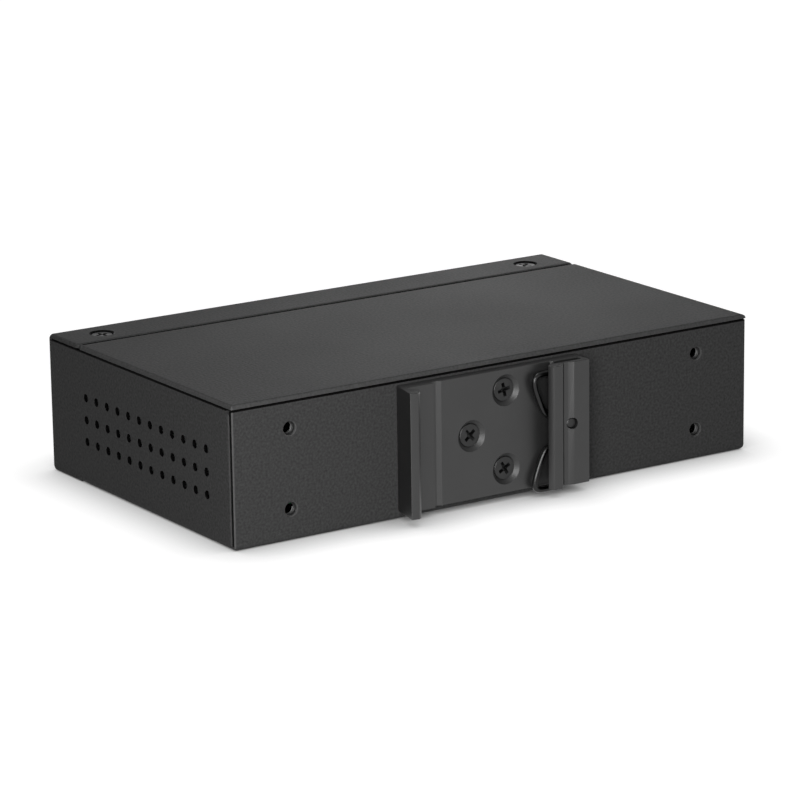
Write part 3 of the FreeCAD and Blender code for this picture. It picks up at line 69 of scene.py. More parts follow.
lens = bpy.data.cameras.new("studio_camera")
lens.lens = LENS_LENGTH
lens.clip_start = 10 * MM
camera = bpy.data.objects.new("studio_camera", lens)
turn_to_aim = (AIM - EYE).to_track_quat("-Z", "Y").to_matrix() @ Matrix.Rotation(ROLL, 3, "Z")
camera.matrix_world = Matrix.Translation(EYE) @ turn_to_aim.to_4x4()
scene.collection.objects.link(camera)
scene.camera = camera
print("camera distance in mm:", round((AIM - EYE).length / MM, 1))

# %% [markdown]
# ## Sums on sockets
# Procedural finishes are sums on textures. Wiring Math nodes by hand hides the sum, so one small
# class wraps an output socket and lets Python's own signs add the nodes. Every other node comes
# from its one method, which takes the node's type, its settings and its sockets.

# %% A wire that can be added and multiplied
class Wire:
    """An output socket of a node tree; sums on wires become Math nodes."""

    def __init__(self, tree, socket=None):
        self.tree = tree
        self.socket = socket

    def node(self, kind, settings, sockets, output=0):
        made = self.tree.nodes.new(kind)
        for name, value in settings.items():
            setattr(made, name, value)
        for name, value in sockets.items():
            for one in value if isinstance(value, list) else [value]:
                if isinstance(one, Wire):
                    self.tree.links.new(one.socket, made.inputs[name])
                else:
                    made.inputs[name].default_value = one
        return Wire(self.tree, made.outputs[output] if len(made.outputs) else None)

    def beside(self, output):
        """Another output of the same node."""
        return Wire(self.tree, self.socket.node.outputs[output])

    def math(self, operation, first, second):
        return self.node("ShaderNodeMath", {"operation": operation}, {0: first, 1: second})

    def __add__(self, other):
        return self.math("ADD", self, other)

    def __radd__(self, other):
        return self.math("ADD", other, self)

    def __sub__(self, other):
        return self.math("SUBTRACT", self, other)

    def __rsub__(self, other):
        return self.math("SUBTRACT", other, self)

    def __mul__(self, other):
        return self.math("MULTIPLY", self, other)

    def __rmul__(self, other):
        return self.math("MULTIPLY", other, self)

    def __truediv__(self, other):
        return self.math("DIVIDE", self, other)

    def __rtruediv__(self, other):
        return self.math("DIVIDE", other, self)

    def over(self, level):
        return self.math("GREATER_THAN", self, level)

    def within(self, low, high):
        """One where the value lies between two levels, and zero elsewhere."""
        return self.over(low) * (1 - self.over(high))

    def size(self):
        return self.math("ABSOLUTE", self, 0.0)


def shade_of(red, green, blue):
    """The linear colour of three screen levels from 0 to 255."""
    levels = [level / 255 for level in (red, green, blue)]
    return tuple(v / 12.92 if v <= 0.04045 else ((v + 0.055) / 1.055) ** 2.4 for v in levels) + (1.0,)


def grey(level):
    return shade_of(level, level, level)


print("mid grey is", [round(v, 3) for v in grey(128)])

# %% [markdown]
# ## Texture helpers
# Every finish reads Object coordinates, so a grain of a given size in millimetres stays that size
# on each part. A few helpers cover most of them: an even grain, a low relief made from it, a blend
# between two colours and a ramp between two levels.

# %% Grain, relief, blend and ramp
MIX_SHARE, MIX_FIRST, MIX_SECOND, MIX_COLOUR = 0, 6, 7, 2


def grain(start, width, stretch=(1, 1, 1), detail=2.0):
    """Cloudy noise from 0 to 1, whose clouds are about width millimetres wide."""
    where = start.node("ShaderNodeTexCoord", {}, {}, "Object")
    where = start.node("ShaderNodeMapping", {}, {"Vector": where, "Scale": stretch})
    sockets = {"Vector": where, "Scale": 1 / (width * MM), "Detail": detail}
    return start.node("ShaderNodeTexNoise", {}, sockets)


def relief(start, height, depth):
    """A bumped normal whose full height is depth millimetres."""
    return start.node("ShaderNodeBump", {}, {"Height": height, "Distance": depth * MM, "Strength": 1.0})


def blend(start, share, first, second):
    """A colour between two colours; share is 0 for the first and 1 for the second."""
    sockets = {MIX_SHARE: share, MIX_FIRST: first, MIX_SECOND: second}
    return start.node("ShaderNodeMix", {"data_type": "RGBA"}, sockets, MIX_COLOUR)


def ramp(start, value, reach, levels):
    """Runs from the first of two levels to the second while the value crosses its reach."""
    ends = {"From Min": reach[0], "From Max": reach[1], "To Min": levels[0], "To Max": levels[1]}
    return start.node("ShaderNodeMapRange", {}, {"Value": value, **ends})


def surface(start, **sockets):
    """The shader of most finishes; base_color sets the socket named Base Color, and so on."""
    spelled = {"ior_level": "Specular IOR Level"}
    named = {spelled.get(k, k.replace("_", " ").title()): v for k, v in sockets.items()}
    return start.node("ShaderNodeBsdfPrincipled", {}, named)


print("texture helpers ready")

# %% [markdown]
# ## The studio floor
# A pale floor gives the soft even look of a product photograph. It keeps the object's shadow, and a
# glow that only the camera and mirrors see makes it white without putting more light on the object.
# The glow fades where the object stands close, because little light gets in there.

# %% Lay the floor
FLOOR_HALF = 4.0
FLOOR_GLOW = (0.9, 0.9, 0.9, 1.0)
FLOOR_WHITE = (0.25, 0.25, 0.25, 1.0)
CONTACT_REACH = 13 * MM
BOUNCE_GREY = (0.35, 0.35, 0.35, 1.0)
WHITE, BLACK = grey(255), grey(0)


def seen_by(start, *rays):
    """One for rays of the named kinds, such as Camera, and zero for rays that only light things."""
    kinds = [start.node("ShaderNodeLightPath", {}, {}, f"Is {ray} Ray") for ray in rays]
    return start.math("MINIMUM", sum(kinds[1:], kinds[0]), 1.0)


def material(name, paint):
    """A material whose surface shader is what paint returns."""
    made = bpy.data.materials.new(name)
    made.use_nodes = True
    made.node_tree.nodes.clear()
    start = Wire(made.node_tree)
    start.node("ShaderNodeOutputMaterial", {}, {"Surface": paint(start)})
    return made


def floor_paint(start):
    bounce = start.node("ShaderNodeBsdfDiffuse", {}, {"Color": BOUNCE_GREY})
    mirrored = start.node("ShaderNodeEmission", {}, {"Color": WHITE})
    pale = start.node("ShaderNodeBsdfDiffuse", {}, {"Color": FLOOR_WHITE})
    openness = start.node("ShaderNodeAmbientOcclusion", {}, {"Distance": CONTACT_REACH}, "AO")
    glow = start.node("ShaderNodeEmission", {}, {"Color": blend(start, openness, BLACK, FLOOR_GLOW)})
    shown = start.node("ShaderNodeAddShader", {}, {0: pale, 1: glow})
    in_mirrors = seen_by(start, "Glossy", "Transmission")
    unseen = start.node("ShaderNodeMixShader", {}, {0: in_mirrors, 1: bounce, 2: mirrored})
    return start.node("ShaderNodeMixShader", {}, {0: seen_by(start, "Camera"), 1: unseen, 2: shown})


def add_mesh(name, corners, faces):
    mesh = bpy.data.meshes.new(name)
    mesh.from_pydata(corners, [], faces)
    made = bpy.data.objects.new(name, mesh)
    scene.collection.objects.link(made)
    return made


floor_corners = [(x * FLOOR_HALF, y * FLOOR_HALF, 0) for x, y in ((-1, -1), (1, -1), (1, 1), (-1, 1))]
floor = add_mesh("studio_floor", floor_corners, [(0, 1, 2, 3)])
floor.data.materials.append(material("floor_white", floor_paint))
print("floor laid:", floor.name)

# %% [markdown]
# ## The surround
# The world is white to look at and dim as a lamp, so metal mirrors a white room. Its light falls off
# towards the ceiling, and hardly any comes from the left, so that the vented end stays darker than
# the clip side.

# %% Light the surround
WORLD_LIGHT = (0.28, 0.28, 0.28, 1.0)
CEILING_REACH, CEILING_LEVEL = (0.05, 0.9), 0.4
LEFT_REACH, LEFT_LEVEL = (-0.3, 0.7), 0.02

world = bpy.data.worlds.new("studio_world")
world.use_nodes = True
world.node_tree.nodes.clear()
sky = Wire(world.node_tree)
heading = sky.node("ShaderNodeTexCoord", {}, {}, "Generated")
upwards = sky.node("ShaderNodeSeparateXYZ", {}, {"Vector": heading}, "Z")
rightwards = sky.node("ShaderNodeSeparateXYZ", {}, {"Vector": heading}, "X")
side = ramp(sky, rightwards, LEFT_REACH, (LEFT_LEVEL, 1.0))
height = ramp(sky, upwards, CEILING_REACH, (1.0, CEILING_LEVEL))
lit = sky.node("ShaderNodeBackground", {}, {"Color": blend(sky, height * side, BLACK, WORLD_LIGHT)})
white = sky.node("ShaderNodeBackground", {}, {"Color": blend(sky, height, BLACK, WHITE)})
in_sight = seen_by(sky, "Camera", "Glossy", "Transmission")
surround = sky.node("ShaderNodeMixShader", {}, {0: in_sight, 1: lit, 2: white})
sky.node("ShaderNodeOutputWorld", {}, {"Surface": surround})
scene.world = world
print("surround made:", world.name)

# %% [markdown]
# ## The lamps
# Five soft lamps do the rest. The key lamp stands close to the near corner, so both walls fade away
# from it. The rear lamp is low and far behind, where the matt lid mirrors it at a glancing angle.
# Three fill lamps light the lid, the port side and the power end, which would otherwise be in shade.
# Each is listed with its place, the point that it faces, its width and its power.

# %% Five soft lamps
def soft_lamp(name, stands, faces, width, power):
    """A round lamp at one point that faces another; metres and watts."""
    lamp = bpy.data.lights.new(name, "AREA")
    lamp.shape = "DISK"
    lamp.size = width
    lamp.energy = power
    made = bpy.data.objects.new(name, lamp)
    turned = (Vector(faces) - Vector(stands)).to_track_quat("-Z", "Y")
    made.matrix_world = Matrix.Translation(Vector(stands)) @ turned.to_matrix().to_4x4()
    made.visible_camera = False
    scene.collection.objects.link(made)
    return made


CLIP_MIDDLE = (0, -35 * MM, 14 * MM)
LID_MIDDLE = (0, 0, 28 * MM)
PORTS_MIDDLE = (0, 35 * MM, 14 * MM)
POWER_MIDDLE = (60 * MM, 0, 14 * MM)
LAMPS = {
    "key_lamp": ((-0.195, -0.285, 0.095), CLIP_MIDDLE, 0.22, 1.1),
    "rear_lamp": ((0.45, 0.62, 0.13), LID_MIDDLE, 0.2, 0.46),
    "port_fill": ((0.02, 0.62, 0.06), PORTS_MIDDLE, 0.1, 1.1),
    "top_fill": ((0, 0.12, 0.9), LID_MIDDLE, 0.3, 2.2),
    "end_fill": ((0.64, 0.02, 0.06), POWER_MIDDLE, 0.1, 1.2),
}
lamps = [soft_lamp(name, *settings) for name, settings in LAMPS.items()]
scene.view_settings.view_transform = "Standard"
print("studio lamps:", [lamp.name for lamp in lamps])

# %% [markdown]
# ## Painted shade, and painted highlight with wear
# The walls of the punched holes, the sinks of the strip screws, the gap under the lid, the lid's seam
# and the open folds at the back corners get painted shade: their coat is darkened for the shade that
# falls in them. Bends, the lid's rim, the sides of the folds and the mouths of the bracket holes get a
# painted highlight, broken up like rubbed wear, so it is part painted light and part wear. Both are
# found from the place on the case: each box below is three ranges in millimetres, for the distance
# from the case's middle line, for Y and for Z.

# %% Masks from the place on the case
CASE_HALF_X, CASE_HALF_Y = 60.0, 35.0
STRIP_SCREW_X, STRIP_SCREW_Y, STRIP_SINK = 51.3, 28.7, 2.56
BELOW_SKIN = (0.04, 27.96)
FAR = 100
# Painted shade: each box below is darkened for the shade in the vents, bracket holes, lid seam, lid gap
# and corner folds.
PAINTED_SHADE_BOXES = {
    "vents": ((59.25, 59.97), (-26.6, 23.0), (7.9, 18.9)),
    "bracket holes": ((45.5, 49.5), (-34.4, -32.6), (4.2, 23.8)),
    "lid seam": ((-1, 58.6), (22.5, 23.5), (25.0, 27.8)),
    "lid gap": ((-1, FAR), (-FAR, 33.9), (26.72, 27.2)),
    "corner folds": ((59.5, FAR), (-34.8, -34.15), (0.9, 26.8)),
}
# Painted highlight with wear: these boxes and the upright bends are lightened for the light they catch,
# broken up like rubbed paint.
HIGHLIGHT_AND_WEAR_BOXES = {
    "fold sides": (0.6, ((59.5, FAR), (-34.15, -33.6), (0.9, 26.8))),
    "lid rim": (0.3, ((-1, FAR), (-FAR, 22.6), (27.2, 27.9))),
    "bracket mouths": (0.7, ((45.9, 49.1), (-34.97, -34.4), (4.6, 23.4))),
}
BEND_REACH = (0.22, 0.4)
LEAST_HIGHLIGHT_WEAR, HIGHLIGHT_WEAR_RANGE, SCRATCH = 0.35, 0.9, 0.7


def place_mm(start):
    """The three Object coordinates as wires, in millimetres."""
    where = start.node("ShaderNodeTexCoord", {}, {}, "Object")
    parted = start.node("ShaderNodeSeparateXYZ", {}, {"Vector": where}, "X")
    return [parted.beside(axis) / MM for axis in "XYZ"]


def in_box(place, box):
    """One inside a box and its mirror image at the other end, and zero elsewhere."""
    x, y, z = place
    across, along, up = box
    return x.size().within(*across) * y.within(*along) * z.within(*up)


def squared(first, second):
    """The squared length of two sides of a right angle."""
    return first * first + second * second


def painted_shade(start):
    """One where shade is painted: the boxes, and the sinks of the strip screws."""
    place = x, y, z = place_mm(start)
    from_screw = squared(x.size() - STRIP_SCREW_X, y - STRIP_SCREW_Y)
    # Painted shade inside the sinks of the strip screws.
    sinks = (1 - from_screw.over(STRIP_SINK**2)) * z.within(*BELOW_SKIN)
    boxes = [in_box(place, box) for box in PAINTED_SHADE_BOXES.values()]
    return start.math("MINIMUM", sum(boxes, sinks), 1.0)


def highlight_and_wear(start):
    """Up to one where a highlight with wear is painted: on the upright bends and in the boxes, broken
    up by a scratchy noise.
    """
    place = x, y, z = place_mm(start)
    from_corner = start.math("MAXIMUM", CASE_HALF_X - x.size(), CASE_HALF_Y - y.size())
    bends = ramp(start, from_corner, BEND_REACH, (1.0, 0.0))
    boxes = [weight * in_box(place, box) for weight, box in HIGHLIGHT_AND_WEAR_BOXES.values()]
    return sum(boxes, bends) * (LEAST_HIGHLIGHT_WEAR + HIGHLIGHT_WEAR_RANGE * grain(start, SCRATCH, detail=3.0))


print("masks:", list(PAINTED_SHADE_BOXES), list(HIGHLIGHT_AND_WEAR_BOXES))

# %% [markdown]
# ## Black powder coat
# The case is steel sheet with a baked powder coat: nearly black, matt, and faintly pebbled because
# the powder flows only a little before it sets. Pebbles about half a millimetre wide carry a low
# relief, and specks of the same size change the colour slightly.

# %% The case's powder coat
PEBBLE, SPECK, CLOUD = 0.55, 0.5, 26.0
PEBBLE_HEIGHT = 0.05
COAT_DARK, COAT_LIGHT = grey(46), grey(76)
# The first tone is a painted highlight with wear; the second is painted shade.
HIGHLIGHT_AND_WEAR_TONE, PAINTED_SHADE_TONE = grey(92), grey(8)


# The coat carries the painted shade and the painted highlight with wear from the masks above.
def powder_coat(start):
    pebbles = grain(start, PEBBLE, detail=1.0)
    specks = grain(start, SPECK, detail=1.0)
    clouds = grain(start, CLOUD)
    tone = blend(start, specks, COAT_DARK, COAT_LIGHT)
    # Painted highlight with wear on the bends, the lid's rim, the fold sides and the hole mouths.
    tone = blend(start, highlight_and_wear(start), tone, HIGHLIGHT_AND_WEAR_TONE)
    # Painted shade, near black, in the holes, gaps, folds and sinks.
    tone = blend(start, painted_shade(start), tone, PAINTED_SHADE_TONE)
    return surface(start, base_color=tone, roughness=0.5 + 0.1 * clouds, ior_level=0.02,
                   normal=relief(start, pebbles, PEBBLE_HEIGHT))


case_paint = material("case_paint", powder_coat)
print("made", case_paint.name)

# %% [markdown]
# ## The clip's black anodising
# The rail clip is cut from an aluminium extrusion and dyed black. The dye leaves the metal's own
# gloss, so it mirrors its surroundings dimly. Drawing through a die leaves faint lines along its
# length, which run up and down here. The screw sinks are cut afterwards. The sawn ends are duller,
# and their colour is darkened as painted shade.

# %% Anodised aluminium
SINK_SPOTS = ((0.0, 22.1), (-8.0, 14.3), (0.0, 6.5))
SINK_REACH, BELOW_PLATE = 3.3, -36.97
DRAWN_Z = (1.76, 26.24)
DIE_LINE, DIE_LINE_HEIGHT, DYE_CLOUD = 0.12, 0.002, 9.0
# The last tone is painted shade for the clip's end faces.
DYE_DARK, DYE_LIGHT, SINK_TONE, SAWN_END_SHADE_TONE = grey(67), grey(72), grey(70), grey(50)


def sink_walls(start):
    """One inside the clip's three screw sinks."""
    x, y, z = place_mm(start)
    near = [1 - squared(x - at, z - level).over(SINK_REACH**2) for at, level in SINK_SPOTS]
    return sum(near[1:], near[0]) * y.over(BELOW_PLATE)


def shaded_sawn_ends(start):
    """One on the clip's two end faces and the broken edges round them."""
    x, y, z = place_mm(start)
    return 1 - z.within(*DRAWN_Z)


def anodised_black(start):
    lines = grain(start, DIE_LINE, stretch=(1, 1, 0.01))
    clouds = grain(start, DYE_CLOUD)
    sinks = sink_walls(start)
    shaded_sawn = shaded_sawn_ends(start)
    tone = blend(start, clouds, DYE_DARK, DYE_LIGHT)
    tone = blend(start, sinks, tone, SINK_TONE)
    # Painted shade: the end faces are darkened in colour; their extra roughness is real dullness.
    tone = blend(start, shaded_sawn, tone, SAWN_END_SHADE_TONE)
    dullness = 0.38 + 0.06 * lines + 0.08 * sinks + 0.2 * shaded_sawn
    return surface(start, base_color=tone, metallic=0.8, roughness=dullness,
                   normal=relief(start, lines, DIE_LINE_HEIGHT))


clip_metal = material("clip_metal", anodised_black)
print("made", clip_metal.name)

# %% [markdown]
# ## Steel and other metals
# Drawn spring wire, blackened screws, nickel plate and gold contacts differ in colour and gloss
# but share one recipe: a metal with faint stains and fine scratches. One function makes them all
# from two colours, a roughness and a scratch depth. The steel of the tapped threads is duller and
# lighter than the screws.

# %% A recipe for metals
def metal(colour, stain, roughness, scratch):
    """A painter of a metal with stains 1.6 mm wide and scratches about 0.1 mm wide."""
    def paint(start):
        stains = grain(start, 1.6)
        marks = grain(start, 0.09, stretch=(1, 1, 0.2))
        tone = blend(start, stains, colour, stain)
        return surface(start, base_color=tone, metallic=1.0, roughness=roughness + 0.12 * stains,
                       normal=relief(start, marks, scratch))
    return paint


spring_wire = material("spring_wire", metal(grey(58), grey(48), 0.24, 0.001))
pin_steel = material("pin_steel", metal(grey(68), grey(58), 0.42, 0.003))
screw_steel = material("screw_steel", metal(grey(66), grey(56), 0.4, 0.002))
thread_steel = material("thread_steel", metal(grey(90), grey(76), 0.55, 0.002))
NICKEL, NICKEL_STAIN = shade_of(200, 198, 190), shade_of(176, 174, 166)
plated_steel = material("plated_steel", metal(NICKEL, NICKEL_STAIN, 0.26, 0.002))
TIN, TIN_STAIN = shade_of(206, 204, 198), shade_of(186, 184, 178)
port_shield = material("port_shield", metal(TIN, TIN_STAIN, 0.24, 0.002))
GOLD, GOLD_STAIN = shade_of(226, 180, 88), shade_of(206, 158, 70)
contact_metal = material("contact_metal", metal(GOLD, GOLD_STAIN, 0.22, 0.001))
CAN, CAN_STAIN = shade_of(198, 198, 196), shade_of(180, 180, 178)
crystal_can = material("crystal_can", metal(CAN, CAN_STAIN, 0.2, 0.001))
print("metals made:", spring_wire.name, screw_steel.name, plated_steel.name)

# %% [markdown]
# ## Plastics
# Moulded housings have a fine spark-eroded skin and little gloss. The ports are black, the power
# terminal is the usual green, and chips are dull epoxy.

# %% A recipe for moulded plastics
def plastic(colour, shadow, roughness, texture):
    """A painter of a moulded plastic; texture is the depth of its skin in millimetres."""
    def paint(start):
        skin = grain(start, 0.18)
        clouds = grain(start, 5.0)
        tone = blend(start, clouds, colour, shadow)
        return surface(start, base_color=tone, roughness=roughness + 0.1 * clouds,
                       normal=relief(start, skin, texture))
    return paint


port_plastic = material("port_plastic", plastic(grey(38), grey(32), 0.42, 0.006))
GREEN, GREEN_SHADOW = shade_of(44, 120, 62), shade_of(38, 108, 54)
terminal_plastic = material("terminal_plastic", plastic(GREEN, GREEN_SHADOW, 0.4, 0.006))
chip_plastic = material("chip_plastic", plastic(grey(44), grey(36), 0.55, 0.008))
inductor_core = material("inductor_core", plastic(grey(62), grey(50), 0.6, 0.02))
SLEEVE, SLEEVE_SHADOW = shade_of(38, 44, 62), shade_of(32, 38, 54)
capacitor_sleeve = material("capacitor_sleeve", plastic(SLEEVE, SLEEVE_SHADOW, 0.3, 0.002))
LAMINATE, LAMINATE_SHADOW = shade_of(26, 82, 48), shade_of(20, 66, 40)
board_laminate = material("board_laminate", plastic(LAMINATE, LAMINATE_SHADOW, 0.35, 0.004))
LENS, LENS_SHADOW = shade_of(96, 168, 92), shade_of(84, 152, 80)
lamp_lens = material("lamp_lens", plastic(LENS, LENS_SHADOW, 0.12, 0.0))
print("plastics made:", port_plastic.name, terminal_plastic.name)

# %% [markdown]
# ## Finishes onto the CAD parts
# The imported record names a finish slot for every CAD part. Giving each part the material of its
# slot keeps the finishes and the record together.

# %% Paint the CAD parts
parts_in = {
    case_paint: ("case_tray", "lid", "front_panel"),
    clip_metal: ("din_clip",),
    spring_wire: ("clip_spring",),
    pin_steel: ("clip_pin",),
    screw_steel: ("panel_screws", "clip_screws"),
    plated_steel: ("board_standoffs", "board_screws", "terminal_pins", "terminal_clamps",
                   "terminal_screws", "earth_screw", "earth_washer"),
    board_laminate: ("circuit_board",),
    port_shield: ("copper_shield", "fibre_cage"),
    port_plastic: ("copper_housing", "fibre_connector", "lamp_holders"),
    contact_metal: ("copper_contacts",),
    terminal_plastic: ("terminal_header", "terminal_plug"),
    lamp_lens: ("lamps",),
    chip_plastic: ("port_magnetics", "switch_chip", "memory_chip", "converter_chip", "surge_diodes"),
    crystal_can: ("clock_crystal",),
    inductor_core: ("power_inductors",),
    capacitor_sleeve: ("bulk_capacitors",),
}
for finish, parts in parts_in.items():
    for part in parts:
        for place in nodes[part].material_slots:
            place.material = finish
print("parts painted:", sum(len(parts) for parts in parts_in.values()))

# %% [markdown]
# ## Repeating a shape
# Screws, threads and spring fingers are each one shape set down many times. A Geometry Nodes tree
# does that well: the shape is built once inside the tree, and each point of a small mesh says where
# a copy goes, which way it faces and how far it is turned. The result is kept as a plain mesh,
# because other programs don't read such trees.

# %% A tree that sets a shape on points
def repeat_tree(name, labels, shape):
    """A tree whose shape comes from the function shape, with one input for each label."""
    tree = bpy.data.node_groups.new(name, "GeometryNodeTree")
    tree.interface.new_socket("Places", in_out="INPUT", socket_type="NodeSocketGeometry")
    for label in labels:
        tree.interface.new_socket(label, in_out="INPUT", socket_type="NodeSocketFloat")
    tree.interface.new_socket("Finish", in_out="INPUT", socket_type="NodeSocketMaterial")
    tree.interface.new_socket("Pieces", in_out="OUTPUT", socket_type="NodeSocketGeometry")
    start = Wire(tree)
    given = start.node("NodeGroupInput", {}, {}, "Places")
    made = shape(start, {label: given.beside(label) for label in labels})
    kind = "GeometryNodeInputNamedAttribute"
    axis = start.node(kind, {"data_type": "FLOAT_VECTOR"}, {"Name": "axis"})
    turn = start.node(kind, {"data_type": "FLOAT"}, {"Name": "turn"})
    facing = start.node("FunctionNodeAlignRotationToVector", {"axis": "Z"}, {"Vector": axis})
    spin = start.node("FunctionNodeAxisAngleToRotation", {}, {"Axis": (0, 0, 1), "Angle": turn})
    turned = start.node("FunctionNodeRotateRotation", {"rotation_space": "LOCAL"},
                        {"Rotation": facing, "Rotate By": spin})
    copies = start.node("GeometryNodeInstanceOnPoints", {},
                        {"Points": given, "Instance": made, "Rotation": turned})
    real = start.node("GeometryNodeRealizeInstances", {}, {"Geometry": copies})
    finish = given.beside("Finish")
    done = start.node("GeometryNodeSetMaterial", {}, {"Geometry": real, "Material": finish})
    start.node("NodeGroupOutput", {}, {"Pieces": done})
    return tree


print("repeat tree ready")

# %% [markdown]
# ## Plain pieces
# A finished piece is a plain mesh at the origin. Doubled corners are welded, flat faces that meet at
# a wide angle keep a sharp edge, and a count of open edges shows whether the piece is closed.

# %% From a source to a plain piece
WELD = 0.002 * MM


def finished(name, source, sharp=30):
    """The evaluated source as a new plain piece, sharp over an angle; the source is removed."""
    evaluated = source.evaluated_get(bpy.context.evaluated_depsgraph_get())
    mesh = bpy.data.meshes.new_from_object(evaluated)
    mesh.name = name
    bpy.data.objects.remove(source)
    shell = bmesh.new()
    shell.from_mesh(mesh)
    bmesh.ops.remove_doubles(shell, verts=shell.verts, dist=WELD)
    shell.to_mesh(mesh)
    shell.free()
    piece = bpy.data.objects.new(name, mesh)
    scene.collection.objects.link(piece)
    mesh.shade_smooth()
    mesh.set_sharp_from_angle(angle=math.radians(sharp))
    return piece


def repeat(name, tree, places, sizes, finish):
    """Runs a tree on places, each a spot in mm, an axis and a turn in degrees."""
    points = add_mesh(name + "_places", [Vector(spot) * MM for spot, axis, turn in places], [])
    points.data.attributes.new("axis", "FLOAT_VECTOR", "POINT")
    points.data.attributes.new("turn", "FLOAT", "POINT")
    for index, (spot, axis, turn) in enumerate(places):
        points.data.attributes["axis"].data[index].vector = axis
        points.data.attributes["turn"].data[index].value = math.radians(turn)
    maker = points.modifiers.new("repeat", "NODES")
    maker.node_group = tree
    for socket in tree.interface.items_tree:
        if socket.name in sizes:
            maker[socket.identifier] = sizes[socket.name] * MM
        if socket.name == "Finish":
            maker[socket.identifier] = finish
    return finished(name, points)


def open_edges(piece):
    """How many edges don't have exactly two faces; a closed solid has none."""
    counts = {}
    for face in piece.data.polygons:
        for edge in face.edge_keys:
            counts[edge] = counts.get(edge, 0) + 1
    return sum(1 for count in counts.values() if count != 2)


print("piece helpers ready")

# %% [markdown]
# ## Sunk screws
# The strips of the front panel and the clip are held by countersunk screws with a cross recess. The
# tree builds one from the tip up: a disc is raised and widened ring by ring, as a lathe would leave
# it, and then a tapered cross is cut into its face. The head is a little smaller than its seat, which
# leaves the dark ring that is seen round a real one.

# %% The shape of a cross-recessed screw
RECESS_LIP, BLADE_TAPER = 0.1, 0.62
CONE_TOP, CONE_FOOT, CONE_DEEPER = 0.95, 0.3, 1.15
SEAM_WELD = 0.001 * MM


def vector(start, **parts):
    """A vector from wires or numbers for X, Y and Z."""
    return start.node("ShaderNodeCombineXYZ", {}, parts)


def moved(start, shape, **how):
    """A shape with a Translation, Rotation or Scale."""
    return start.node("GeometryNodeTransform", {}, {"Geometry": shape, **how})


def cross_recess(start, size):
    """Cutters for a cross recess: two tapered blades and the cone where they meet."""
    lip = RECESS_LIP * MM
    tall = size["Recess Depth"] + lip
    span, width = size["Recess Span"], size["Recess Width"]
    side = math.sqrt(0.5)
    frustum = start.node("GeometryNodeMeshCone", {}, {
        "Vertices": 4, "Radius Top": side, "Radius Bottom": side * BLADE_TAPER, "Depth": tall})
    square = moved(start, frustum, Rotation=(0, 0, math.radians(45)))
    sunk = vector(start, Z=-1.0 * size["Recess Depth"])
    scales = [vector(start, X=x, Y=y, Z=1.0) for x, y in ((span, width), (width, span))]
    blades = [moved(start, square, Translation=sunk, Scale=scale) for scale in scales]
    middle = start.node("GeometryNodeMeshCone", {}, {
        "Vertices": 12, "Radius Top": width * CONE_TOP, "Radius Bottom": width * CONE_FOOT,
        "Depth": tall * CONE_DEEPER})
    return blades + [moved(start, middle, Translation=vector(start, Z=lip - tall * CONE_DEEPER))]


def sunk_screw(start, size):
    """A countersunk screw whose face is at the origin and whose shank runs down."""
    head, shank = size["Head"] * 0.5, size["Shank"] * 0.5
    cone = head - shank
    straight = size["Length"] - cone - size["Rim"] - size["Bevel"] - size["Tip"]
    rings = ((size["Tip"], shank), (straight, shank), (cone, head), (size["Rim"], head),
             (size["Bevel"], head - size["Bevel"]))
    radius = shank - size["Tip"]
    disc = {"Vertices": 32, "Radius": radius}
    body = start.node("GeometryNodeMeshCircle", {"fill_type": "NGON"}, disc)
    foot = start.node("GeometryNodeFlipFaces", {}, {"Mesh": body})
    chosen = {}
    for rise, wider in rings:
        upwards = {"Mesh": body, "Offset Scale": rise, **chosen}
        raised = start.node("GeometryNodeExtrudeMesh", {"mode": "FACES"}, upwards)
        chosen = {"Selection": raised.beside("Top")}
        body = start.node("GeometryNodeScaleElements", {"domain": "FACE"},
                          {"Geometry": raised, "Scale": wider / radius, **chosen})
        radius = wider
    joined = start.node("GeometryNodeJoinGeometry", {}, {"Geometry": [body, foot]})
    welded = {"Geometry": joined, "Distance": SEAM_WELD}
    closed = start.node("GeometryNodeMergeByDistance", {}, welded)
    seated = moved(start, closed, Translation=vector(start, Z=-1.0 * size["Length"]))
    return start.node("GeometryNodeMeshBoolean", {"operation": "DIFFERENCE", "solver": "EXACT"},
                      {"Mesh 1": seated, "Mesh 2": cross_recess(start, size)})


SUNK_SIZES = {"Head": 4.2, "Shank": 2.8, "Length": 5.0, "Rim": 0.1, "Bevel": 0.1, "Tip": 0.4,
              "Recess Span": 2.9, "Recess Width": 0.72, "Recess Depth": 0.9}
sunk_tree = repeat_tree("sunk_screw", SUNK_SIZES, sunk_screw)
print("screw tree:", len(sunk_tree.nodes), "nodes")

# %% [markdown]
# ## Seven screws in place
# Two screws hold each strip of the front panel, and three hold the clip. Each one stopped at its own
# angle when it was tightened, so the crosses are turned by listed amounts.

# %% Set the screws
UP, DOWN, BACKWARD = (0, 0, 1), (0, 0, -1), (0, -1, 0)
LID_HEADS_Z, FLOOR_HEADS_Z, CLIP_HEADS_Y = 27.7, 0.3, -36.4
CLIP_HEAD = 4.6

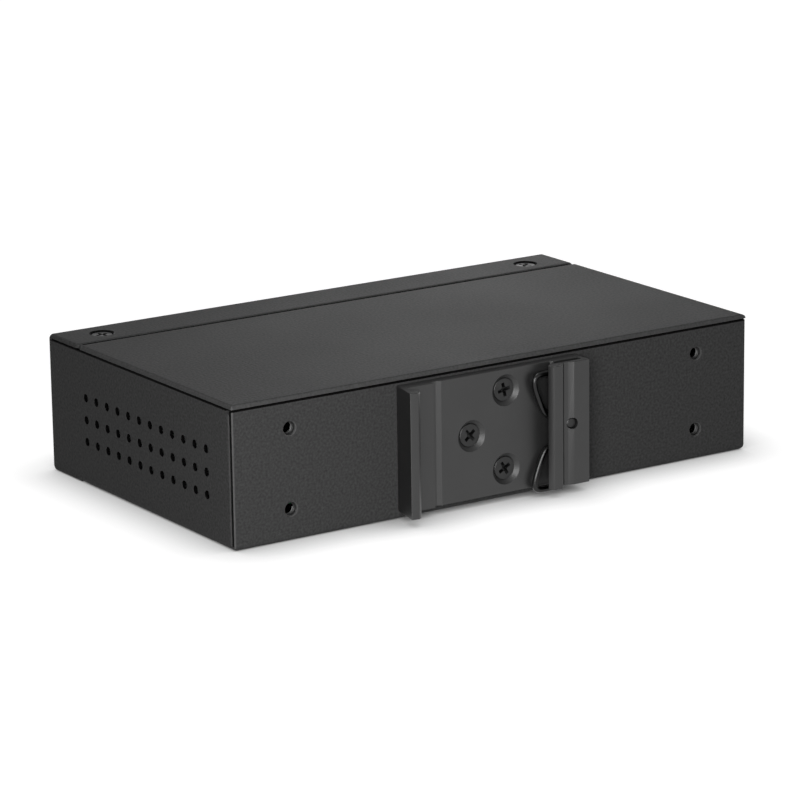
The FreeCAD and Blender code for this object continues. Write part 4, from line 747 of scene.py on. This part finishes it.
strip_spots = [((-STRIP_SCREW_X, STRIP_SCREW_Y, LID_HEADS_Z), UP, 12),
               ((STRIP_SCREW_X, STRIP_SCREW_Y, LID_HEADS_Z), UP, 40),
               ((-STRIP_SCREW_X, STRIP_SCREW_Y, FLOOR_HEADS_Z), DOWN, 25),
               ((STRIP_SCREW_X, STRIP_SCREW_Y, FLOOR_HEADS_Z), DOWN, 70)]
strip_screws = repeat("strip_screws", sunk_tree, strip_spots, SUNK_SIZES, screw_steel)
clip_spots = [((x, CLIP_HEADS_Y, z), BACKWARD, turn)
              for (x, z), turn in zip(SINK_SPOTS, (12, 42, 30))]
clip_sizes = {**SUNK_SIZES, "Head": CLIP_HEAD}
sunk_clip_screws = repeat("sunk_clip_screws", sunk_tree, clip_spots, clip_sizes, screw_steel)
for screws, node in ((strip_screws, "panel_screws"), (sunk_clip_screws, "clip_screws")):
    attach(screws, "root")
    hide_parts(node)
    print(screws.name, len(screws.data.polygons), "faces, open edges:", open_edges(screws))

# %% [markdown]
# ## Threads in the bracket holes
# The four bracket holes are punched, drawn inwards into a collar and tapped, so bare steel glints
# in them. A thread is a ridge that follows a helix: a spiral curve with a three-cornered section
# gives it with few faces, and the same kind of tree sets it in the four holes.

# %% Tapped threads
THREAD_SIZES = {"Radius": 1.24, "Depth": 1.2, "Ridge": 0.17}
THREAD_TURNS = 2.4
HOLE_X, HOLE_Z = (-47.5, 47.5), (6.2, 21.8)
THREAD_FOOT_Y = -33.4
TURN_STEP = 40


def swept(start, line, section):
    """A closed strip or ridge that carries a section along a line."""
    sockets = {"Curve": line, "Profile Curve": section, "Fill Caps": True}
    return start.node("GeometryNodeCurveToMesh", {}, sockets)


def thread_ridge(start, size):
    """A ridge that winds up from the origin."""
    helix = start.node("GeometryNodeCurveSpiral", {}, {
        "Resolution": 20, "Rotations": THREAD_TURNS, "Start Radius": size["Radius"],
        "End Radius": size["Radius"], "Height": size["Depth"]})
    corners = {"Resolution": 3, "Radius": size["Ridge"]}
    return swept(start, helix, start.node("GeometryNodeCurvePrimitiveCircle", {}, corners))


thread_tree = repeat_tree("thread_ridge", THREAD_SIZES, thread_ridge)
holes = [(x, THREAD_FOOT_Y, z) for x in HOLE_X for z in HOLE_Z]
hole_spots = [(spot, BACKWARD, TURN_STEP * index) for index, spot in enumerate(holes)]
bracket_threads = repeat("bracket_threads", thread_tree, hole_spots, THREAD_SIZES, thread_steel)
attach(bracket_threads, "root")
print("threads:", len(bracket_threads.data.polygons), "faces, open edges:", open_edges(bracket_threads))

# %% [markdown]
# ## Fillers in the sheet gaps
# A thin filler lies in the gap under the lid along the back and both ends, so that no light shows
# through at the corners. It takes the painted shade of the lid gap, so it is a dark band that stands
# in for the shade in the gap. Two short bars close the slits over the floor strip, nearly flush with
# the end walls. Each filler is a flat outline that is raised by the height of its gap.

# %% Raise the beads from their outlines
LID_GAP, FLOOR_GAP = (26.9, 27.2), (0.8, 1.1)
BEAD_X, BEAD_BACK_Y, BEAD_FRONT_Y, BEAD_WIDTH = 59.75, -34.75, 22.2, 0.5
BAR_X, BAR_Y = (59.3, 59.96), (23.3, 34.1)


def prism(lower, upper):
    """Corners and faces of a solid between two outlines with the same number of corners."""
    count = len(lower)
    walls = [(i, (i + 1) % count, count + (i + 1) % count, count + i) for i in range(count)]
    lids = [tuple(range(count - 1, -1, -1)), tuple(range(count, 2 * count))]
    return lower + upper, walls + lids


inner_x, inner_y = BEAD_X - BEAD_WIDTH, BEAD_BACK_Y + BEAD_WIDTH
lid_gap_shade_filler = [(-BEAD_X, BEAD_FRONT_Y), (-BEAD_X, BEAD_BACK_Y), (BEAD_X, BEAD_BACK_Y),
            (BEAD_X, BEAD_FRONT_Y), (inner_x, BEAD_FRONT_Y), (inner_x, inner_y),
            (-inner_x, inner_y), (-inner_x, BEAD_FRONT_Y)]
bars = [[(x0, BAR_Y[0]), (x1, BAR_Y[0]), (x1, BAR_Y[1]), (x0, BAR_Y[1])]
        for x0, x1 in (BAR_X, (-BAR_X[1], -BAR_X[0]))]
bead_corners, bead_faces = [], []
for outline, gap in [(lid_gap_shade_filler, LID_GAP)] + [(bar, FLOOR_GAP) for bar in bars]:
    corners, faces = prism(*[[Vector((x, y, z)) * MM for x, y in outline] for z in gap])
    bead_faces += [tuple(len(bead_corners) + i for i in face) for face in faces]
    bead_corners += corners
gap_fillers = add_mesh("gap_fillers", bead_corners, bead_faces)
# The lid's filler lies in the painted-shade band of the lid gap, so its coat is painted shade.
gap_fillers.data.materials.append(case_paint)
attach(gap_fillers, "root")
print("beads:", len(gap_fillers.data.polygons), "faces, open edges:", open_edges(gap_fillers))

# %% [markdown]
# ## Spring fingers in the fibre port
# The cage behind the fibre port grips a plug-in module with thin spring fingers, pressed from the
# same sheet just inside its mouth. Each one is a short strip that bows towards the module. A curve
# of three points with a flat section gives it, and the tree sets ten of them round the mouth, each
# turned so that its bow points inwards.

# %% Bowed fingers round the cage's mouth
FINGER_SIZES = {"Length": 4.2, "Bow": 0.55, "Width": 1.9, "Thickness": 0.12}
FINGER_INSET = 0.3
MOUTH_HALF, MOUTH_FLOOR, MOUTH_ROOF = 6.8, 7.7, 17.0
FINGER_ROW, SIDE_FINGERS_Z = (-4.2, 0, 4.2), (10.4, 14.3)
FORWARD = (0, 1, 0)


def spring_finger(start, size):
    """A strip that runs down from the origin and bows towards Y."""
    bow = vector(start, Y=size["Bow"] * 2.0, Z=size["Length"] * -0.45)
    foot = vector(start, Z=size["Length"] * -1.0)
    line = start.node("GeometryNodeCurveQuadraticBezier", {}, {
        "Resolution": 8, "Start": (0, 0, 0), "Middle": bow, "End": foot})
    sides = {"Width": size["Width"], "Height": size["Thickness"]}
    return swept(start, line, start.node("GeometryNodeCurvePrimitiveQuadrilateral", {}, sides))


finger_tree = repeat_tree("spring_finger", FINGER_SIZES, spring_finger)
cage_low, cage_high = [[v / MM for v in corner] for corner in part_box("fibre_cage")]
mouth_x, mouth_y = (cage_low[0] + cage_high[0]) / 2, cage_high[1] - FINGER_INSET
skin = FINGER_SIZES["Thickness"] / 2
finger_spots = [((mouth_x + x, mouth_y, MOUTH_ROOF - skin), FORWARD, 0) for x in FINGER_ROW]
finger_spots += [((mouth_x + x, mouth_y, MOUTH_FLOOR + skin), FORWARD, 180) for x in FINGER_ROW]
for z in SIDE_FINGERS_Z:
    finger_spots += [((mouth_x - MOUTH_HALF + skin, mouth_y, z), FORWARD, -90),
                     ((mouth_x + MOUTH_HALF - skin, mouth_y, z), FORWARD, 90)]
cage_fingers = repeat("cage_fingers", finger_tree, finger_spots, FINGER_SIZES, port_shield)
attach(cage_fingers, "root")
print("cage in mm:", [round(v, 2) for v in cage_low + cage_high])
print("fingers:", len(finger_spots), "open edges:", open_edges(cage_fingers))

# %% [markdown]
# ## The rail clip's blank
# The clip is sawn from an aluminium extrusion, so one outline gives its hook, seat, plate and
# nose, and the saw leaves two flat ends. The CAD outline is redrawn here with the nose's pointed
# lip and broken edges. Each corner is a distance from the vented end and a rise from the back wall.

# %% Extrude the clip
CLIP_OUTLINE = [
    (36.3, 0), (34.9, 6.75), (36.45, 7.1), (37.2, 6.6), (37.8, 5.6), (37.8, 3.9), (37.0, 3.9),
    (37.0, 2.6), (43.1, 2.6), (43.1, 1.6), (44.1, 1.6), (45.1, 2.0), (70.4, 2.0), (70.9, 2.5),
    (76.4, 2.5), (76.4, 4.0), (68.8, 4.0), (67.8, 5.1), (68.35, 6.18), (68.7, 6.25), (70.35, 6.25),
    (70.45, 4.6), (71.7, 4.6), (71.7, 4.35), (71.9, 4.35), (71.9, 4.6), (72.75, 4.6), (73.95, 5.2),
    (77.5, 5.2), (77.5, 0),
]
CLIP_ENDS = (1.7, 26.3)
BROKEN_EDGE, EDGE_ANGLE = 0.1, 25


def on_clip(from_end, rise, z):
    """A point on the back wall's side, in metres."""
    return Vector((from_end - CASE_HALF_X, -CASE_HALF_Y - rise, z)) * MM


def face_outwards(piece):
    """Turns every face of a closed piece outwards."""
    shell = bmesh.new()
    shell.from_mesh(piece.data)
    bmesh.ops.recalc_face_normals(shell, faces=shell.faces)
    shell.to_mesh(piece.data)
    shell.free()


clip_ends = [[on_clip(x, rise, z) for x, rise in CLIP_OUTLINE] for z in CLIP_ENDS]
blank = add_mesh("clip_blank", *prism(*clip_ends))
face_outwards(blank)
blank.data.materials.append(clip_metal)
edge_break = blank.modifiers.new("edge_break", "BEVEL")
edge_break.width = BROKEN_EDGE * MM
edge_break.segments = 2
edge_break.angle_limit = math.radians(EDGE_ANGLE)
print("clip blank:", len(blank.data.polygons), "faces")

# %% [markdown]
# ## The clip's sinks and bore
# Three sinks take the screws and one bore takes the spring's pin. Each cutter is a body of
# revolution about a line that stands out from the wall, and the pin itself is made the same way,
# with chamfered ends.

# %% Cut the clip and turn the pin
SINK = [(1.6, -0.5), (1.6, 0.5), (3.55, 2.4)]
PIN_BORE = [(1.12, 1.0), (1.12, 8.0)]
PIN_PROFILE = [(0.85, 1.02), (1.0, 1.2), (1.0, 4.5), (0.86, 4.64)]
PIN_SPOT = (13.6, 14.0)
ROUND_STEPS = 48


def turned_body(name, profile, x, z):
    """A closed body of revolution about a line out from the wall; profile is radii and rises."""
    corners = []
    for radius, rise in profile:
        for step in range(ROUND_STEPS):
            angle = 2 * math.pi * step / ROUND_STEPS
            along, up = radius * math.cos(angle), radius * math.sin(angle)
            corners.append(on_clip(x + CASE_HALF_X + along, rise, z + up))
    total = len(corners)
    faces = [tuple(range(ROUND_STEPS)), tuple(range(total - 1, total - ROUND_STEPS - 1, -1))]
    for base in range(0, total - ROUND_STEPS, ROUND_STEPS):
        for step in range(ROUND_STEPS):
            here, after = base + step, base + (step + 1) % ROUND_STEPS
            faces.append((here, here + ROUND_STEPS, after + ROUND_STEPS, after))
    made = add_mesh(name, corners, faces)
    face_outwards(made)
    return made


cutters = [turned_body("sink", SINK, x, z) for x, z in SINK_SPOTS]
cutters.append(turned_body("pin_bore", PIN_BORE, *PIN_SPOT))
for cutter in cutters:
    cut = blank.modifiers.new(cutter.name, "BOOLEAN")
    cut.operation = "DIFFERENCE"
    cut.solver = "EXACT"
    cut.object = cutter
rail_clip = finished("rail_clip", blank, sharp=18)
for cutter in cutters:
    bpy.data.objects.remove(cutter)
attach(rail_clip, "root")
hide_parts("din_clip")
print("clip:", len(rail_clip.data.polygons), "faces, open edges:", open_edges(rail_clip))

pin_blank = turned_body("pin_blank", PIN_PROFILE, *PIN_SPOT)
pin_blank.data.materials.append(pin_steel)
spring_pin = finished("spring_pin", pin_blank)
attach(spring_pin, "root")
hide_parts("clip_pin")
print("pin:", len(spring_pin.data.polygons), "faces, open edges:", open_edges(spring_pin))

# %% [markdown]
# ## The spring wire
# One hard-drawn wire is bent by hand tools into two bows, and its middle lies in the clip's slot,
# round the pin. A smooth spline with a round section is the natural way to make a bent wire. Its
# control points are listed for the upper half, and the lower half mirrors them.

# %% Bend the wire
WIRE_RADIUS = 0.55
WIRE_RISE = 3.25
WIRE_MIDDLE = 12.8
WIRE_LOOP = 75.45
half = [(70.6, 24.3), (68.4, 24.4), (66.1, 24.2), (65.7, 22.6), (66.7, 19.8), (67.8, 17.3),
        (68.9, 15.9), (72.0, 15.85), (WIRE_LOOP, 15.85)]
mirrored = [(x, 2 * WIRE_MIDDLE - z) for x, z in reversed(half)]
bends = half + [(WIRE_LOOP, WIRE_MIDDLE)] + mirrored
wire_line = bpy.data.curves.new("wire_line", "CURVE")
wire_line.dimensions = "3D"
spline = wire_line.splines.new("NURBS")
spline.points.add(len(bends) - 1)
for point, (x, z) in zip(spline.points, bends):
    point.co = (*on_clip(x, WIRE_RISE, z), 1.0)
spline.order_u = 3
spline.use_endpoint_u = True
spline.resolution_u = 8
wire_line.bevel_depth = WIRE_RADIUS * MM
wire_line.bevel_resolution = 4
wire_line.use_fill_caps = True
wire_line.materials.append(spring_wire)
wire_source = bpy.data.objects.new("wire_source", wire_line)
scene.collection.objects.link(wire_source)
bent_wire = finished("bent_wire", wire_source, sharp=60)
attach(bent_wire, "root")
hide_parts("clip_spring")
print("wire:", len(bent_wire.data.polygons), "faces, open edges:", open_edges(bent_wire))
